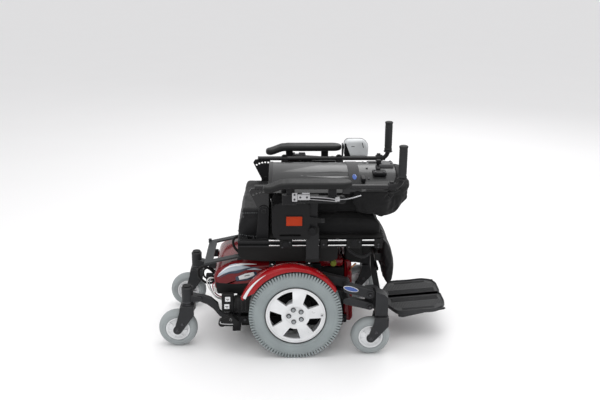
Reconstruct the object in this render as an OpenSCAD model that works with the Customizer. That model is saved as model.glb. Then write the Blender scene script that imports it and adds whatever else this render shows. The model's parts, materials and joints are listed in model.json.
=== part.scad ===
/* [Drive wheels] */
// Diameter of a drive tyre
drive_d = 356; // [330:1:370]
// Width of a drive tyre
drive_w = 76; // [60:1:78]
// Distance from the chair's middle to the middle of a drive tyre
drive_y = 264; // [262:1:275]
// Diameter of the drive wheel's rim
rim_d = 228; // [200:1:240]
// Number of spokes in a drive wheel
spokes = 5; // [4:1:6]

/* [Casters] */
// Diameter of a caster tyre
caster_d = 152; // [140:1:152]
// Width of a caster tyre
caster_w = 48; // [36:1:50]
// How far a caster's axle trails its swivel
trail = 40; // [35:1:42]
// Front swivel's distance ahead of the drive axle
front_x = 331; // [325:1:340]
// Front swivel's distance from the middle
front_y = 256; // [254:1:262]
// Rear swivel's distance behind the drive axle
rear_x = 423; // [418:1:430]
// Rear swivel's distance from the middle
rear_y = 180; // [176:1:184]

/* [Seat] */
// Height of the seat rails' underside
rail_z = 439; // [436:1:441]
// Thickness of the seat cushion
cushion_t = 56; // [40:1:58]
// Height of the armrest pads' tops
arm_top = 708; // [705:1:730]
// Length of an armrest pad
pad_l = 325; // [280:1:326]
// Width of an armrest pad
pad_w = 74; // [50:1:74]

/* [Back] */
// Height of the folded back's canes
cane_z = 663; // [660:1:668]
// Distance from the middle to a cane
cane_y = 205; // [203:1:207]
// Length of a push grip
grip_l = 121; // [90:1:130]

/* [Footplates] */
// Length of a footplate
foot_l = 238; // [200:1:240]
// Width of a footplate
foot_w = 148; // [120:1:150]
// Upward slope of the footplates in degrees
foot_tilt = 5; // [0:1:6]

/* [Hidden] */
$fn = 64;

// Running clearance on the radius of a pin in its bore
fit = 0.05;
// Slack between parts that slide or fold past each other
gap = 0.5;
// The model's origin lies under the middle of the chair's length
rear_end = -rear_x - trail - caster_d / 2;
foot_x = 376;
foot_z = 116;
foot_t = 14;
front_end = foot_x + foot_l * cos(foot_tilt) + foot_t * sin(foot_tilt);
shift_x = -(rear_end + front_end) / 2;

axle_z = drive_d / 2;
caster_z = caster_d / 2;
caster_in = caster_w / 2 + 4;
leg_t = 7;

// Front suspension: both links are as long as each other and stay parallel
link_x = 55;
link_upper_z = 312;
link_lower_z = 261;
link_run = 230;
link_drop = 60;
link_in = 188;
link_out = 214;
nose_in = 240;
nose_out = 266;

// Rear suspension pivot
beam_x = -240;
beam_z = 116;

// Back hinge
hinge_x = -119;
hinge_z = 573;

// Armrest post
post_x0 = 46;
post_x1 = 80;
arm_y = 272;

// Leg rest pivot
leg_x = 318;
leg_z = 440;

// Moves a part from the drive axle's frame to the model's frame
module place() {
    translate([shift_x, 0, 0])
        children();
}

// Turns a left-hand part into a right-hand one
module right() {
    mirror([0, 1, 0])
        children();
}

module both() {
    children();
    mirror([0, 1, 0])
        children();
}

// A plate drawn by its side view and standing between two distances from the middle
module slab(y0, y1) {
    translate([0, y1, 0])
        rotate([90, 0, 0])
            linear_extrude(y1 - y0)
                children();
}

// A cylinder across the chair
module crossbar(x, z, r, y0, y1) {
    translate([x, y0, z])
        rotate([-90, 0, 0])
            cylinder(h = y1 - y0, r = r);
}

// A box given by its two corners
module block(a, b) {
    translate(a)
        cube(b - a);
}

// A round rod between two points
module rod(a, b, r) {
    d = b - a;
    len = norm(d);
    translate(a)
        rotate([0, acos(d[2] / len), atan2(d[1], d[0])])
            cylinder(h = len, r = r);
}

// Side view of a bar with round ends
module bar2d(a, b, w) {
    d = b - a;
    translate(a)
        rotate(atan2(d[1], d[0])) {
            translate([0, -w / 2])
                square([norm(d), w]);
            circle(d = w);
            translate([norm(d), 0])
                circle(d = w);
        }
}

// A rectangle with round corners
module round2d(w, h, r) {
    for (x = [r, w - r])
        for (y = [r, h - r])
            translate([x, y])
                circle(r = r);
    translate([r, 0])
        square([w - 2 * r, h]);
    translate([0, r])
        square([w, h - 2 * r]);
}

// A tube swept along a list of points
function unit(v) = v / norm(v);
function heading(p, i) = unit(p[min(i + 1, len(p) - 1)] - p[max(i - 1, 0)]);
function across(t) = unit(cross(t, abs(t[1]) > 0.9 ? [1, 0, 0] : [0, 1, 0]));
function ring(p, i, r, n) =
    let (t = heading(p, i), u = across(t), v = cross(t, u))
    [for (k = [0 : n - 1]) p[i] + r * (cos(360 * k / n) * u + sin(360 * k / n) * v)];
function curve(p, i, s) =
    let (a = p[max(i - 1, 0)], b = p[i], c = p[i + 1], d = p[min(i + 2, len(p) - 1)])
    0.5 * (2 * b + (c - a) * s + (2 * a - 5 * b + 4 * c - d) * s * s + (3 * b - a - 3 * c + d) * s * s * s);
function smooth(p, m) =
    concat([for (i = [0 : len(p) - 2]) for (k = [0 : m - 1]) curve(p, i, k / m)], [p[len(p) - 1]]);

module cable(route, r) {
    n = 8;
    p = smooth(route, 4);
    last = len(p) - 1;
    points = [for (i = [0 : last]) each ring(p, i, r, n)];
    sides = [for (i = [0 : last - 1]) for (k = [0 : n - 1])
        [i * n + k, (i + 1) * n + k, (i + 1) * n + (k + 1) % n, i * n + (k + 1) % n]];
    ends = [[for (k = [0 : n - 1]) k], [for (k = [n - 1 : -1 : 0]) last * n + k]];
    polyhedron(points, concat(sides, ends), convexity = 4);
}

// ---- Chassis ----

module chassis_frame() {
    color("dimgray") place() {
        both() {
            // lower rail
            block([-262, 150, 84], [206, 166, 112]);
            // side plate that carries the gearbox and the links
            slab(152, 166)
                polygon([[-70, 90], [100, 90], [112, 240], [100, 336], [10, 336], [-40, 240], [-70, 200]]);
            block([-40, 160, 150], [40, 176, 206]);
            // pivots of the front links
            for (z = [link_upper_z, link_lower_z]) {
                crossbar(link_x, z, 17, 160, link_in - gap);
                crossbar(link_x, z, 10, 160, link_out + 4);
                crossbar(link_x, z, 15, link_out + gap, link_out + 4);
            }
            // hanger and pivot of the rear arm
            block([-262, 150, 96], [-218, 164, 136]);
            crossbar(beam_x, beam_z, 9, 160, 190);
            crossbar(beam_x, beam_z, 14, 186 + gap, 190);
            // motor cradle
            block([-180, 158, 106], [-150, 176, 144]);
        }
        // cross members under the battery box
        for (x = [-250, -40, 150])
            block([x, -152, 48], [x + 32, 152, 62 - gap]);
        both()
            for (x = [-250, -40, 150])
                block([x, 150, 48], [x + 32, 166, 90]);
        // upper cross members
        block([12, -156, 328], [36, 156, 336]);
        block([66, -156, 328], [96, 156, 336]);
    }
}

module battery_box() {
    color("#1d1d1f") place()
        difference() {
            block([-215, -146, 62], [192, 146, 312]);
            block([-209, -140, 68], [186, 140, 320]);
        }
}

module batteries() {
    color("#33363a") place() {
        for (x = [-206, -10])
            difference() {
                block([x, -137, 68 + gap], [x + 190, 137, 300]);
                block([x + 20, -160, 285], [x + 170, -110, 310]);
            }
        for (x = [-180, 16])
            for (y = [-70, 70])
                translate([x, y, 299])
                    cylinder(h = 12, r = 9);
    }
}

module shroud() {
    color("#8f1019") place() {
        difference() {
            slab(-172, 172)
                polygon([
                    [-318, 222], [-320, 282], [-312, 300], [-290, 316], [-240, 334], [-80, 348], [-80, 222]
                ]);
            slab(-168, 168)
                polygon([
                    [-314, 210], [-316, 281], [-309, 297], [-288, 312], [-239, 330], [-70, 344], [-70, 210]
                ]);
        }
        // top cover between the side plates
        difference() {
            block([-82, -150, 318], [190, 150, 350]);
            block([-90, -146, 300], [184, 146, 346]);
            block([10, -160, 300], [38, 160, 337]);
            block([64, -160, 300], [98, 160, 337]);
        }
    }
}

module front_panel() {
    color("#a3121c") place()
        difference() {
            slab(-150, 150)
                polygon([[194, 84], [222, 80], [231, 96], [231, 150], [222, 330], [212, 344], [194, 344]]);
            slab(-145, 145)
                polygon([[190, 90], [218, 86], [226, 98], [226, 150], [217, 328], [210, 339], [190, 339]]);
        }
}

module fenders() {
    // centre of the fender's arc and its radius
    cx = -18;
    cz = 176;
    r = 204;
    color("#b5141f") place() both() {
        slab(236, 303)
            intersection() {
                difference() {
                    translate([cx, cz])
                        circle(r = r);
                    translate([cx, cz])
                        circle(r = r - 4);
                }
                translate([cx, cz])
                    polygon([[0, 0], [252, 162], [252, 400], [-400, 400], [-400, 216]]);
            }
        slab(297, 303)
            intersection() {
                difference() {
                    translate([cx, cz])
                        circle(r = r);
                    translate([0, axle_z])
                        circle(r = axle_z + 6);
                }
                translate([cx, cz])
                    polygon([[0, 0], [252, 162], [252, 400], [-400, 400], [-400, 170]]);
            }
        // rear stay from the shroud and front stay from the chassis
        block([-100, 150, 350], [-76, 246, 354]);
        block([-100, 240, 350], [-76, 246, 364]);
        block([40, 152, 336], [64, 160, 362]);
        block([40, 152, 358], [64, 246, 362]);
        block([40, 240, 358], [64, 246, 369]);
    }
}

module bumper_bar() {
    color("#2c3238") place() {
        both() {
            slab(96, 126)
                bar2d([-352, 322], [-214, 352], 7);
            block([-226, 100, 337.2], [-206, 122, 350]);
        }
        slab(-126, 126)
            bar2d([-356, 321], [-328, 327], 7);
        translate([-356, 118, 318])
            cylinder(h = 16, r = 7);
    }
}

module motor() {
    difference() {
        union() {
            // gearbox
            crossbar(0, axle_z, 60, 176, 218);
            crossbar(0, axle_z, 30, 216, 221);
            // right-angle housing and motor can
            block([-76, 176, axle_z - 34], [0, 218, axle_z + 34]);
            translate([-72, 187, axle_z])
                rotate([0, -90, 0])
                    cylinder(h = 166, r = 34);
            translate([-238, 187, axle_z])
                rotate([0, -90, 0])
                    cylinder(h = 34, r = 30);
            // lever pivot
            crossbar(-250, 140, 4, 200, 252);
            crossbar(-250, 140, 8, 200, 225);
            block([-258, 196, 136], [-242, 214, 160]);
        }
        // output bore
        crossbar(0, axle_z, 14 + fit, 192, 230);
    }
}

module motor_left() {
    color("#202124") place()
        motor();
}

module motor_right() {
    color("#202124") place() right()
        motor();
}

module release_lever() {
    difference() {
        union() {
            slab(227, 249) {
                bar2d([-250, 140], [-284, 124], 30);
                bar2d([-250, 140], [-232, 126], 26);
            }
            slab(229, 247)
                bar2d([-284, 122], [-232, 122], 22);
        }
        crossbar(-250, 140, 4 + fit, 220, 260);
    }
}

module release_lever_left() {
    color("#1a1a1c") place()
        release_lever();
}

module release_lever_right() {
    color("#1a1a1c") place() right()
        release_lever();
}

loop_rear = [
    [-320, -96, 268], [-342, -98, 290], [-366, -98, 298], [-384, -100, 286],
    [-382, -104, 258], [-360, -110, 238], [-336, -116, 236], [-319, -118, 244]
];
loop_small = [
    [-320, -60, 262], [-344, -64, 280], [-366, -70, 272], [-366, -76, 248], [-342, -80, 234], [-319, -84, 238]
];
lead_right = [
    [-272, -187, 196], [-280, -178, 204], [-286, -160, 210], [-290, -142, 218], [-292, -132, 238], [-292, -128, 262]
];
lead_left = [
    [-272, 187, 196], [-280, 178, 204], [-286, 160, 210], [-290, 142, 218], [-292, 132, 238], [-292, 128, 262]
];
seat_lead = [
    [-206, -70, 338], [-226, -68, 350], [-244, -62, 372], [-246, -56, 394], [-234, -52, 408], [-218, -50, 412]
];

module wiring_loom() {
    color("#151515") place() {
        cable(loop_rear, 5);
        cable(loop_small, 4);
        cable(lead_right, 5);
        cable(lead_left, 5);
        cable(seat_lead, 5);
    }
}

module seat_stand() {
    color("#232426") place() {
        // feet and uprights under the tray
        slab(-70, 70)
            polygon([[-160, 341.5], [-116, 345.5], [-116, 358], [-160, 358]]);
        block([110, -70, 350 + gap], [154, 70, 358]);
        for (x = [-160, 110])
            block([x + 6, -44, 356], [x + 38, 44, 378]);
        // lower seat tray
        difference() {
            union() {
                slab(-228, 228)
                    polygon([
                        [-218, 400], [-200, 382], [-120, 374], [140, 374], [160, 384], [160, 436], [-218, 436]
                    ]);
            }
            slab(-223, 223)
                polygon([
                    [-212, 402], [-196, 388], [-118, 380], [138, 380], [154, 388], [154, 450], [-212, 450]
                ]);
        }
        both()
            block([-180, 216, 430], [140, 228, rail_z]);
    }
}

module tilt_actuator() {
    color("#c9c2c0") place() {
        rod([196, -66, 356], [185, -66, 400], 13);
        rod([186, -66, 396], [180, -66, 424], 8);
        block([168, -77, 422], [190, -55, rail_z + 2]);
        block([190, -84, 344.5], [212, -48, 358]);
    }
}

// ---- Drive wheels ----

module drive_tyre() {
    w = drive_w / 2;
    r = drive_d / 2;
    b = rim_d / 2;
    translate([0, drive_y, axle_z])
        rotate([-90, 0, 0])
            rotate_extrude($fn = 120)
                polygon([
                    [b, -w + 10], [b + 8, -w + 4], [b + 22, -w], [r - 16, -w], [r - 8, -w + 3], [r - 2, -w + 10],
                    [r, -w + 20], [r, w - 20], [r - 2, w - 10], [r - 8, w - 3], [r - 16, w], [b + 22, w],
                    [b + 8, w - 4], [b, w - 10]
                ]);
}

// Outline of one window between two spokes
module window2d() {
    intersection() {
        difference() {
            circle(r = rim_d / 2 - 15);
            circle(r = 54);
        }
        polygon([[24, 0], [130, 52], [130, -52]]);
    }
}

module drive_rim() {
    b = rim_d / 2;
    w = drive_w / 2;
    translate([0, drive_y, axle_z])
        rotate([-90, 0, 0])
            difference() {
                union() {
                    // barrel with two lips
                    rotate_extrude($fn = 120)
                        polygon([
                            [b - 7, -w + 11], [b, -w + 11], [b, w - 10], [b + 1, w - 6], [b - 6, w - 5],
                            [b - 9, w - 12], [b - 9, -w + 12]
                        ]);
                    // dished face
                    rotate_extrude($fn = 120)
                        polygon([
                            [0, w - 20], [b - 5, w - 18], [b - 5, w - 8], [b - 16, w - 10], [56, w - 5], [40, w - 4],
                            [34, w - 8], [0, w - 8]
                        ]);
                    // hub and output shaft
                    translate([0, 0, -w + 2])
                        cylinder(h = w + 20, r = 40);
                    translate([0, 0, 194 - drive_y])
                        cylinder(h = 40, r = 14);
                    // wheel bolts
                    for (i = [0 : spokes - 1])
                        rotate(i * 360 / spokes + 106)
                            translate([26, 0, w - 9])
                                cylinder(h = 5, r = 6.5, $fn = 6);
                }
                for (i = [0 : spokes - 1])
                    rotate(i * 360 / spokes + 63 + 180 / spokes)
                        translate([0, 0, -w + 20])
                            linear_extrude(drive_w)
                                window2d();
            }
}

module drive_tyre_left() {
    color("#a9adb0") place()
        drive_tyre();
}

module drive_tyre_right() {
    color("#a9adb0") place() right()
        drive_tyre();
}

module drive_rim_left() {
    color("#e2e3e6") place()
        drive_rim();
}

module drive_rim_right() {
    color("#e2e3e6") place() right()
        drive_rim();
}

// ---- Front suspension ----

module link(x, z, w_rear, w_nose, sag) {
    bend = 196;
    bend_z = z - link_drop * (bend - x) / link_run - sag;
    nose_z = z - link_drop;
    difference() {
        union() {
            slab(link_in, link_out)
                bar2d([x, z], [bend, bend_z], w_rear);
            slab(link_in, nose_out)
                translate([bend, bend_z])
                    circle(d = w_rear - 4);
            slab(nose_in, nose_out)
                bar2d([bend + 4, bend_z], [x + link_run, nose_z], w_nose);
        }
        crossbar(x, z, 10 + fit, link_in - 10, link_out + 10);
        crossbar(x + link_run, nose_z, 8 + fit, nose_in - 10, nose_out + 10);
    }
}

module upper_link() {
    link(link_x, link_upper_z, 32, 36, 0);
}

module lower_link() {
    link(link_x, link_lower_z, 30, 28, 2);
}

module upper_link_left() {
    color("#26282c") place()
        upper_link();
}

module upper_link_right() {
    color("#26282c") place() right()
        upper_link();
}

module lower_link_left() {
    color("#26282c") place()
        lower_link();
}

module lower_link_right() {
    color("#26282c") place() right()
        lower_link();
}

module caster_head() {
    pin_x = link_x + link_run;
    difference() {
        union() {
            // upright block with a sloping top
            slab(front_y - 24, front_y + 26)
                polygon([[306, 168], [354, 168], [354, 242], [340, 256], [306, 270]]);
            // lug behind the links
            slab(214, nose_in - gap)
                polygon([[270, 184], [320, 176], [320, 262], [300, 270], [270, 268]]);
            for (z = [link_upper_z - link_drop, link_lower_z - link_drop]) {
                crossbar(pin_x, z, 8, 220, nose_out + 6);
                crossbar(pin_x, z, 12, nose_out + gap, nose_out + 6);
            }
        }
        translate([front_x, front_y, 160])
            cylinder(h = 84, r = 10 + fit);
        // clearance for the noses of the links
        slab(nose_in - gap, nose_out + gap)
            for (z = [link_upper_z - link_drop, link_lower_z - link_drop])
                difference() {
                    translate([pin_x, z])
                        circle(d = 46);
                    translate([pin_x, z])
                        circle(d = 16);
                }
    }
}

module caster_head_left() {
    color("#222326") place()
        caster_head();
}

module caster_head_right() {
    color("#222326") place() right()
        caster_head();
}

// ---- Caster parts, drawn at the swivel axis ----

module fork(crown, top, stem) {
    difference() {
        union() {
            // stem
            cylinder(h = stem, r = 10);
            translate([0, 0, top])
                cylinder(h = 4, r = 20);
            // crown
            translate([-27, -caster_in - leg_t, crown])
                cube([54, 2 * (caster_in + leg_t), top - crown + gap]);
            // legs
            for (s = [-1, 1])
                translate([0, s * (caster_in + leg_t / 2) + leg_t / 2, 0])
                    rotate([90, 0, 0])
                        linear_extrude(leg_t)
                            union() {
                                polygon([
                                    [-27, top], [27, top], [27, top - 34], [-trail + 16, caster_z - 8],
                                    [-trail - 16, caster_z - 8], [-30, top - 22]
                                ]);
                                translate([-trail, caster_z])
                                    circle(r = 17);
                            }
            // axle with its two heads
            crossbar(-trail, caster_z, 6, -caster_in - leg_t - 3, caster_in + leg_t + 3);
            for (y = [-caster_in - leg_t - 3, caster_in + leg_t])
                crossbar(-trail, caster_z, 10, y, y + 3);
        }
        translate([0, 0, -1])
            cylinder(h = crown + 1, r = 11);
        // room for the tyre
        crossbar(-trail, caster_z, caster_z + 2, -caster_in, caster_in);
    }
    crossbar(-trail, caster_z, 6, -caster_in - 1, caster_in + 1);
}

module caster_tyre() {
    w = caster_w / 2;
    r = caster_d / 2;
    translate([-trail, 0, caster_z])
        rotate([-90, 0, 0])
            rotate_extrude($fn = 96)
                polygon([
                    [47, -w + 5], [50, -w + 1], [56, -w], [r - 14, -w + 1], [r - 6, -w + 6], [r - 1, -w + 14],
                    [r, -w + 20], [r, w - 20], [r - 1, w - 14], [r - 6, w - 6], [r - 14, w - 1], [56, w],
                    [50, w - 1], [47, w - 5]
                ]);
}

module caster_hub() {
    w = caster_w / 2;
    translate([-trail, 0, caster_z])
        rotate([-90, 0, 0])
            difference() {
                rotate_extrude($fn = 96)
                    polygon([
                        [0, -w], [18, -w], [20, -w + 6], [36, -w + 10], [42, -w + 3], [47, -w + 3],
                        [47, w - 3], [42, w - 3], [36, w - 10], [20, w - 6], [18, w], [0, w]
                    ]);
                translate([0, 0, -w - 1])
                    cylinder(h = caster_w + 2, r = 6 + fit);
            }
}

module at_front() {
    translate([front_x, front_y, 0])
        children();
}

module at_rear() {
    translate([-rear_x, rear_y, 0])
        children();
}

module front_fork() {
    at_front()
        fork(154.5, 162, 238);
}

module rear_fork() {
    at_rear()
        fork(156, 176, 236);
}

module front_fork_left() {
    color("#222326") place()
        front_fork();
}

module front_fork_right() {
    color("#222326") place() right()
        front_fork();
}

module rear_fork_left() {
    color("#222326") place()
        rear_fork();
}

module rear_fork_right() {
    color("#222326") place() right()
        rear_fork();
}

module front_tyre_left() {
    color("#b4b7ba") place() at_front()
        caster_tyre();
}

module front_tyre_right() {
    color("#b4b7ba") place() right() at_front()
        caster_tyre();
}

module front_hub_left() {
    color("#dcdde0") place() at_front()
        caster_hub();
}

module front_hub_right() {
    color("#dcdde0") place() right() at_front()
        caster_hub();
}

module rear_tyre_left() {
    color("#b4b7ba") place() at_rear()
        caster_tyre();
}

module rear_tyre_right() {
    color("#b4b7ba") place() right() at_rear()
        caster_tyre();
}

module rear_hub_left() {
    color("#dcdde0") place() at_rear()
        caster_hub();
}

module rear_hub_right() {
    color("#dcdde0") place() right() at_rear()
        caster_hub();
}

// ---- Rear suspension ----

module rear_arm() {
    difference() {
        union() {
            translate([-rear_x, rear_y, 181])
                cylinder(h = 66, r = 22);
            translate([-rear_x, rear_y, 247])
                cylinder(h = 4, r1 = 22, r2 = 18);
            // curved arm
            slab(166 + gap, 186)
                polygon([
                    [-416, 188], [-372, 187], [-344, 174], [-322, 156], [-300, 126], [-272, 106], [-244, 100],
                    [-226, 110], [-226, 124], [-240, 132], [-280, 132], [-299, 146], [-304, 176], [-330, 200],
                    [-360, 212], [-416, 216]
                ]);
            slab(158, 194)
                polygon([[-420, 190], [-384, 190], [-366, 196], [-370, 208], [-420, 220]]);
        }
        translate([-rear_x, rear_y, 170])
            cylinder(h = 70, r = 10 + fit);
        crossbar(beam_x, beam_z, 9 + fit, 150, 200);
    }
}

module rear_arm_left() {
    color("#1f2023") place()
        rear_arm();
}

module rear_arm_right() {
    color("#1f2023") place() right()
        rear_arm();
}

// ---- Seat ----

module seat_frame() {
    color("#b9bcc0") place() {
        both() {
            // slotted side rail
            difference() {
                block([-217, 225, rail_z], [327, 245, rail_z + 26]);
                block([-230, 237, rail_z + 6], [340, 250, rail_z + 20]);
                block([-230, 234, rail_z + 3], [340, 241, rail_z + 23]);
            }
            // armrest receiver under and beside the rail
            difference() {
                block([39, 244, 386], [87, 262, 520]);
                block([post_x0 - gap, 249 - gap, 380], [post_x1 + gap, 258 + gap, 530]);
            }
            // lugs of the leg rest pivot
            slab(26, 34)
                polygon([[280, 442], [318, 428], [331, 432], [331, 448], [322, 453], [280, 462]]);
            crossbar(leg_x, leg_z, 6, 0, 38);
        }
        // cross members
        for (x = [-205, 20, 168, 262])
            block([x, -226, rail_z + 2], [x + 24, 226, rail_z + 24]);
    }
}

module seat_pan() {
    color("#2a2b2d") place()
        difference() {
            block([-98, -224, 465 + gap / 2], [334, 224, 469]);
            for (x = [-60, 60, 180])
                for (y = [-150, 30])
                    translate([x, y, 460])
                        linear_extrude(20)
                            round2d(90, 120, 20);
        }
}

module seat_cushion() {
    color("#1b1b1c") place()
        slab(-221, 221)
            translate([-97, 469 + gap])
                round2d(435, cushion_t, 16);
}

module rear_cover() {
    color("#1e1e20") place()
        difference() {
            slab(-188, 188)
                polygon([[-222, 446], [-214, 437], [-102, 437], [-102, 574], [-190, 574], [-198, 566], [-220, 500]]);
            slab(-184, 184)
                polygon([[-217, 448], [-211, 442], [-108, 442], [-108, 568], [-188, 568], [-194, 562], [-215, 500]]);
            // room for the rear cross member of the seat
            block([-207, -200, 430], [-179, 200, rail_z + 26]);
        }
}

module back_brackets() {
    color("#2b2c2f") place() both() {
        slab(211, 217)
            union() {
                polygon([[-150, 440], [-104, 440], [-101, 573], [-138, 573]]);
                translate([hinge_x, hinge_z])
                    circle(r = 19);
            }
        block([-146, 216, rail_z + 2], [-104, 225, rail_z + 24]);
        crossbar(hinge_x, hinge_z, 8, 198, 219);
        crossbar(hinge_x, hinge_z, 12, 198, 201.5);
    }
}

// ---- Folding back ----

module back_frame() {
    color("#c3c5c8") place() both() {
        // angle plate with a row of holes
        slab(202, 208)
            difference() {
                union() {
                    polygon([[-134, 566], [-172, 646], [-164, 658], [-100, 668], [-100, 575]]);
                    translate([hinge_x, hinge_z])
                        circle(r = 19);
                }
                translate([hinge_x, hinge_z]) {
                    circle(r = 8 + fit);
                    for (a = [82 : 10 : 122])
                        translate([73 * cos(a), 73 * sin(a)])
                            circle(r = 4);
                }
            }
        // cane
        difference() {
            rod([-152, cane_y, cane_z], [386, cane_y, cane_z], 9);
            rod([-160, cane_y, cane_z], [300, cane_y, cane_z], 6.5);
        }
        // clamps that hold the shell
        for (x = [-40, 190]) {
            crossbar(x, cane_z, 15, cane_y - 7, cane_y + 9);
            block([x - 14, 186.3, cane_z - 28], [x + 14, cane_y, cane_z - 4]);
        }
    }
}

// Radius of the shell's cross arc and the height of its centre
shell_r = 344;
shell_top = 690;

module shell2d(r, half) {
    intersection() {
        translate([0, shell_top - shell_r])
            circle(r = r, $fn = 180);
        translate([-half, 600])
            square([2 * half, 120]);
    }
}

module along_x(x0, x1) {
    translate([x0, 0, 0])
        rotate([90, 0, 90])
            linear_extrude(x1 - x0)
                children();
}

module back_shell() {
    color("#26282a") place() {
        difference() {
            union() {
                intersection() {
                    along_x(-92, 392)
                        difference() {
                            shell2d(shell_r, 186);
                            translate([0, -5])
                                shell2d(shell_r, 190);
                        }
                    // rounded upper end
                    translate([0, 0, 590])
                        linear_extrude(150)
                            polygon([
                                [-100, -190], [330, -190], [352, -168], [378, -118], [392, -60], [392, 60],
                                [378, 118], [352, 168], [330, 190], [-100, 190]
                            ]);
                }
                // plate for a head rest
                block([332, -26, 686.5], [390, 26, 700]);
            }
            // four bolt holes
            for (x = [341, 381])
                for (y = [-17, 17])
                    translate([x, y, 670])
                        cylinder(h = 60, r = 3.2);
        }
    }
}

module back_cushion() {
    color("#19191a") place() {
        along_x(-86, 255.5)
            intersection() {
                translate([0, -6.5])
                    shell2d(shell_r, 300);
                translate([-176, 531 + 4])
                    square([352, 200]);
            }
        along_x(-86, 266)
            translate([-176, 532])
                round2d(352, 90, 20);
        // deep rounded upper end with side wings
        intersection() {
            union() {
                intersection() {
                    slab(-188, 188)
                        polygon([
                            [250, 552], [330, 537], [400, 560], [440, 596], [458, 630], [460, 648], [450, 664],
                            [396, 692], [264, 692], [264, 600], [250, 600]
                        ]);
                    along_x(240, 470)
                        intersection() {
                            translate([0, shell_top - shell_r - 6.5])
                                circle(r = shell_r, $fn = 180);
                            translate([-200, 500])
                                square([400, 200]);
                        }
                }
                both()
                    slab(186, 222)
                        polygon([
                            [216, 590], [236, 556], [262, 550], [330, 540], [400, 566], [432, 606], [434, 630],
                            [404, 644], [216, 644]
                        ]);
            }
            translate([0, 0, 500])
                linear_extrude(240)
                    polygon([
                        [210, -222], [340, -222], [404, -172], [440, -128], [456, -80], [460, -30], [460, 30],
                        [456, 80], [440, 128], [404, 172], [340, 222], [210, 222]
                    ]);
        }
    }
}

module push_handles() {
    color("#1d1e20") place() both() {
        difference() {
            union() {
                rod([366, cane_y, cane_z], [412, cane_y, cane_z], 15);
                rod([397, cane_y, cane_z], [397, cane_y, 812], 9);
                rod([397, cane_y, 682], [397, cane_y, 690], 16);
            }
            rod([360, cane_y, cane_z], [386 + gap, cane_y, cane_z], 9 + fit);
        }
    }
}

module grips() {
    color("#151516") place() both()
        translate([397, cane_y, 700])
            difference() {
                rotate_extrude()
                    polygon([
                        [0, 0], [16, 0], [16.5, 4], [16, 8], [15.5, 14], [15.5, grip_l - 12], [16.5, grip_l - 6],
                        [13, grip_l], [0, grip_l]
                    ]);
                translate([0, 0, -1])
                    cylinder(h = 113 + gap, r = 9 + fit);
            }
}

// ---- Armrests ----

module arm_frame() {
    // post
    block([post_x0, 249, 396], [post_x1, 258, 630]);
    // rail under the pad, with two lips along its outer face
    difference() {
        block([-50, 268, 626], [176, 284, 650]);
        block([16, 278, 632], [164, 290, 644]);
    }
    block([post_x0 - 4, 249, 624], [post_x1 + 4, 270, 650]);
    // clamp block at the rear and knuckle at the front
    block([-50, 264, 620], [2, 286, 656]);
    crossbar(168, 638, 14, 266, 287);
    // pad supports
    for (x = [-34, 118])
        block([x, 264, 648], [x + 30, 282, arm_top - 25 - gap / 2]);
    // strap that carries the side guard
    block([54, 256, 544], [106, 263 - gap / 2, 558]);
    block([96, 256, 544], [106, 268, 558]);
}

module arm_frame_right() {
    color("#3a3c3f") place() right()
        arm_frame();
}

module arm_frame_left() {
    color("#3a3c3f") place() {
        arm_frame();
        // stay of the joystick
        block([176, 268, 630], [212, 278, 646]);
        block([206, 250, 628], [212, 278, 712]);
        translate([206, 262, 697])
            rotate([0, 90, 0])
                cylinder(h = 34, r = 8);
    }
}

module arm_pad() {
    x0 = -120;
    t = 25;
    translate([x0, arm_y - pad_w / 2, arm_top - t])
        linear_extrude(t) {
            for (x = [pad_w / 2, pad_l - pad_w / 2])
                translate([x, pad_w / 2])
                    circle(r = pad_w / 2);
            translate([pad_w / 2, 0])
                square([pad_l - pad_w, pad_w]);
        }
}

module arm_pad_right() {
    color("#161617") place() right()
        arm_pad();
}

module arm_pad_left() {
    color("#161617") place()
        arm_pad();
}

module side_guard() {
    slab(263, 267)
        difference() {
            polygon([
                [-88, 508], [-80, 486], [-60, 478], [48, 478], [52, 482], [52, 540], [96, 544], [96, 560], [52, 566],
                [52, 612], [44, 618], [-56, 618], [-78, 612], [-88, 590]
            ]);
            // slot
            translate([-60, 490])
                round2d(80, 8, 3.5);
        }
}

module side_guard_right() {
    color("#1c1d1f") place() right()
        side_guard();
}

module side_guard_left() {
    color("#1c1d1f") place()
        side_guard();
}

// ---- Joystick, turned on its side ----

module joystick_pod() {
    color("#b9bcbf") place()
        difference() {
            union() {
                translate([214, 270, 697])
                    rotate([90, 0, 0])
                        linear_extrude(40)
                            translate([0, -40])
                                round2d(104, 80, 22);
            }
            translate([210, 262, 697])
                rotate([0, 90, 0])
                    cylinder(h = 31, r = 8 + fit);
            translate([274, 280, 697])
                rotate([90, 0, 0])
                    cylinder(h = 24, r = 16);
        }
}

module joystick_stick() {
    color("#0f0f10") place() {
        translate([274, 264, 697])
            sphere(r = 7);
        crossbar(274, 697, 3.5, 264, 290);
        translate([274, 276, 697])
            rotate([-90, 0, 0])
                cylinder(h = 8, r1 = 11, r2 = 5);
        translate([274, 294, 697])
            sphere(r = 10);
    }
}

// ---- Leg rest ----

module legrest_hanger() {
    color("#8f9296") place() {
        difference() {
            union() {
                crossbar(leg_x, leg_z, 13, -25.5, 25.5);
                slab(-14, 14) {
                    bar2d([leg_x, leg_z], [326, 250], 24);
                    bar2d([326, 250], [358, 92], 24);
                }
            }
            crossbar(leg_x, leg_z, 6 + fit, -40, 40);
        }
        // pad brackets
        block([318, -100, 328], [330, 100, 344]);
        block([328, -60, 262], [340, 60, 274]);
        // carrier of the footplates
        slab(-9, 9)
            bar2d([358, 92], [562, 92 + 204 * tan(foot_tilt)], 14);
        both()
            block([318, 92, 322], [345, 100, 350]);
    }
}

module calf_pads() {
    color("#18191a") place() both()
        slab(4, 138)
            polygon([
                [344, 418], [352, 424], [366, 405], [382, 360], [390, 310], [388, 256], [378, 232], [362, 234],
                [352, 290], [347, 350]
            ]);
}

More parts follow.
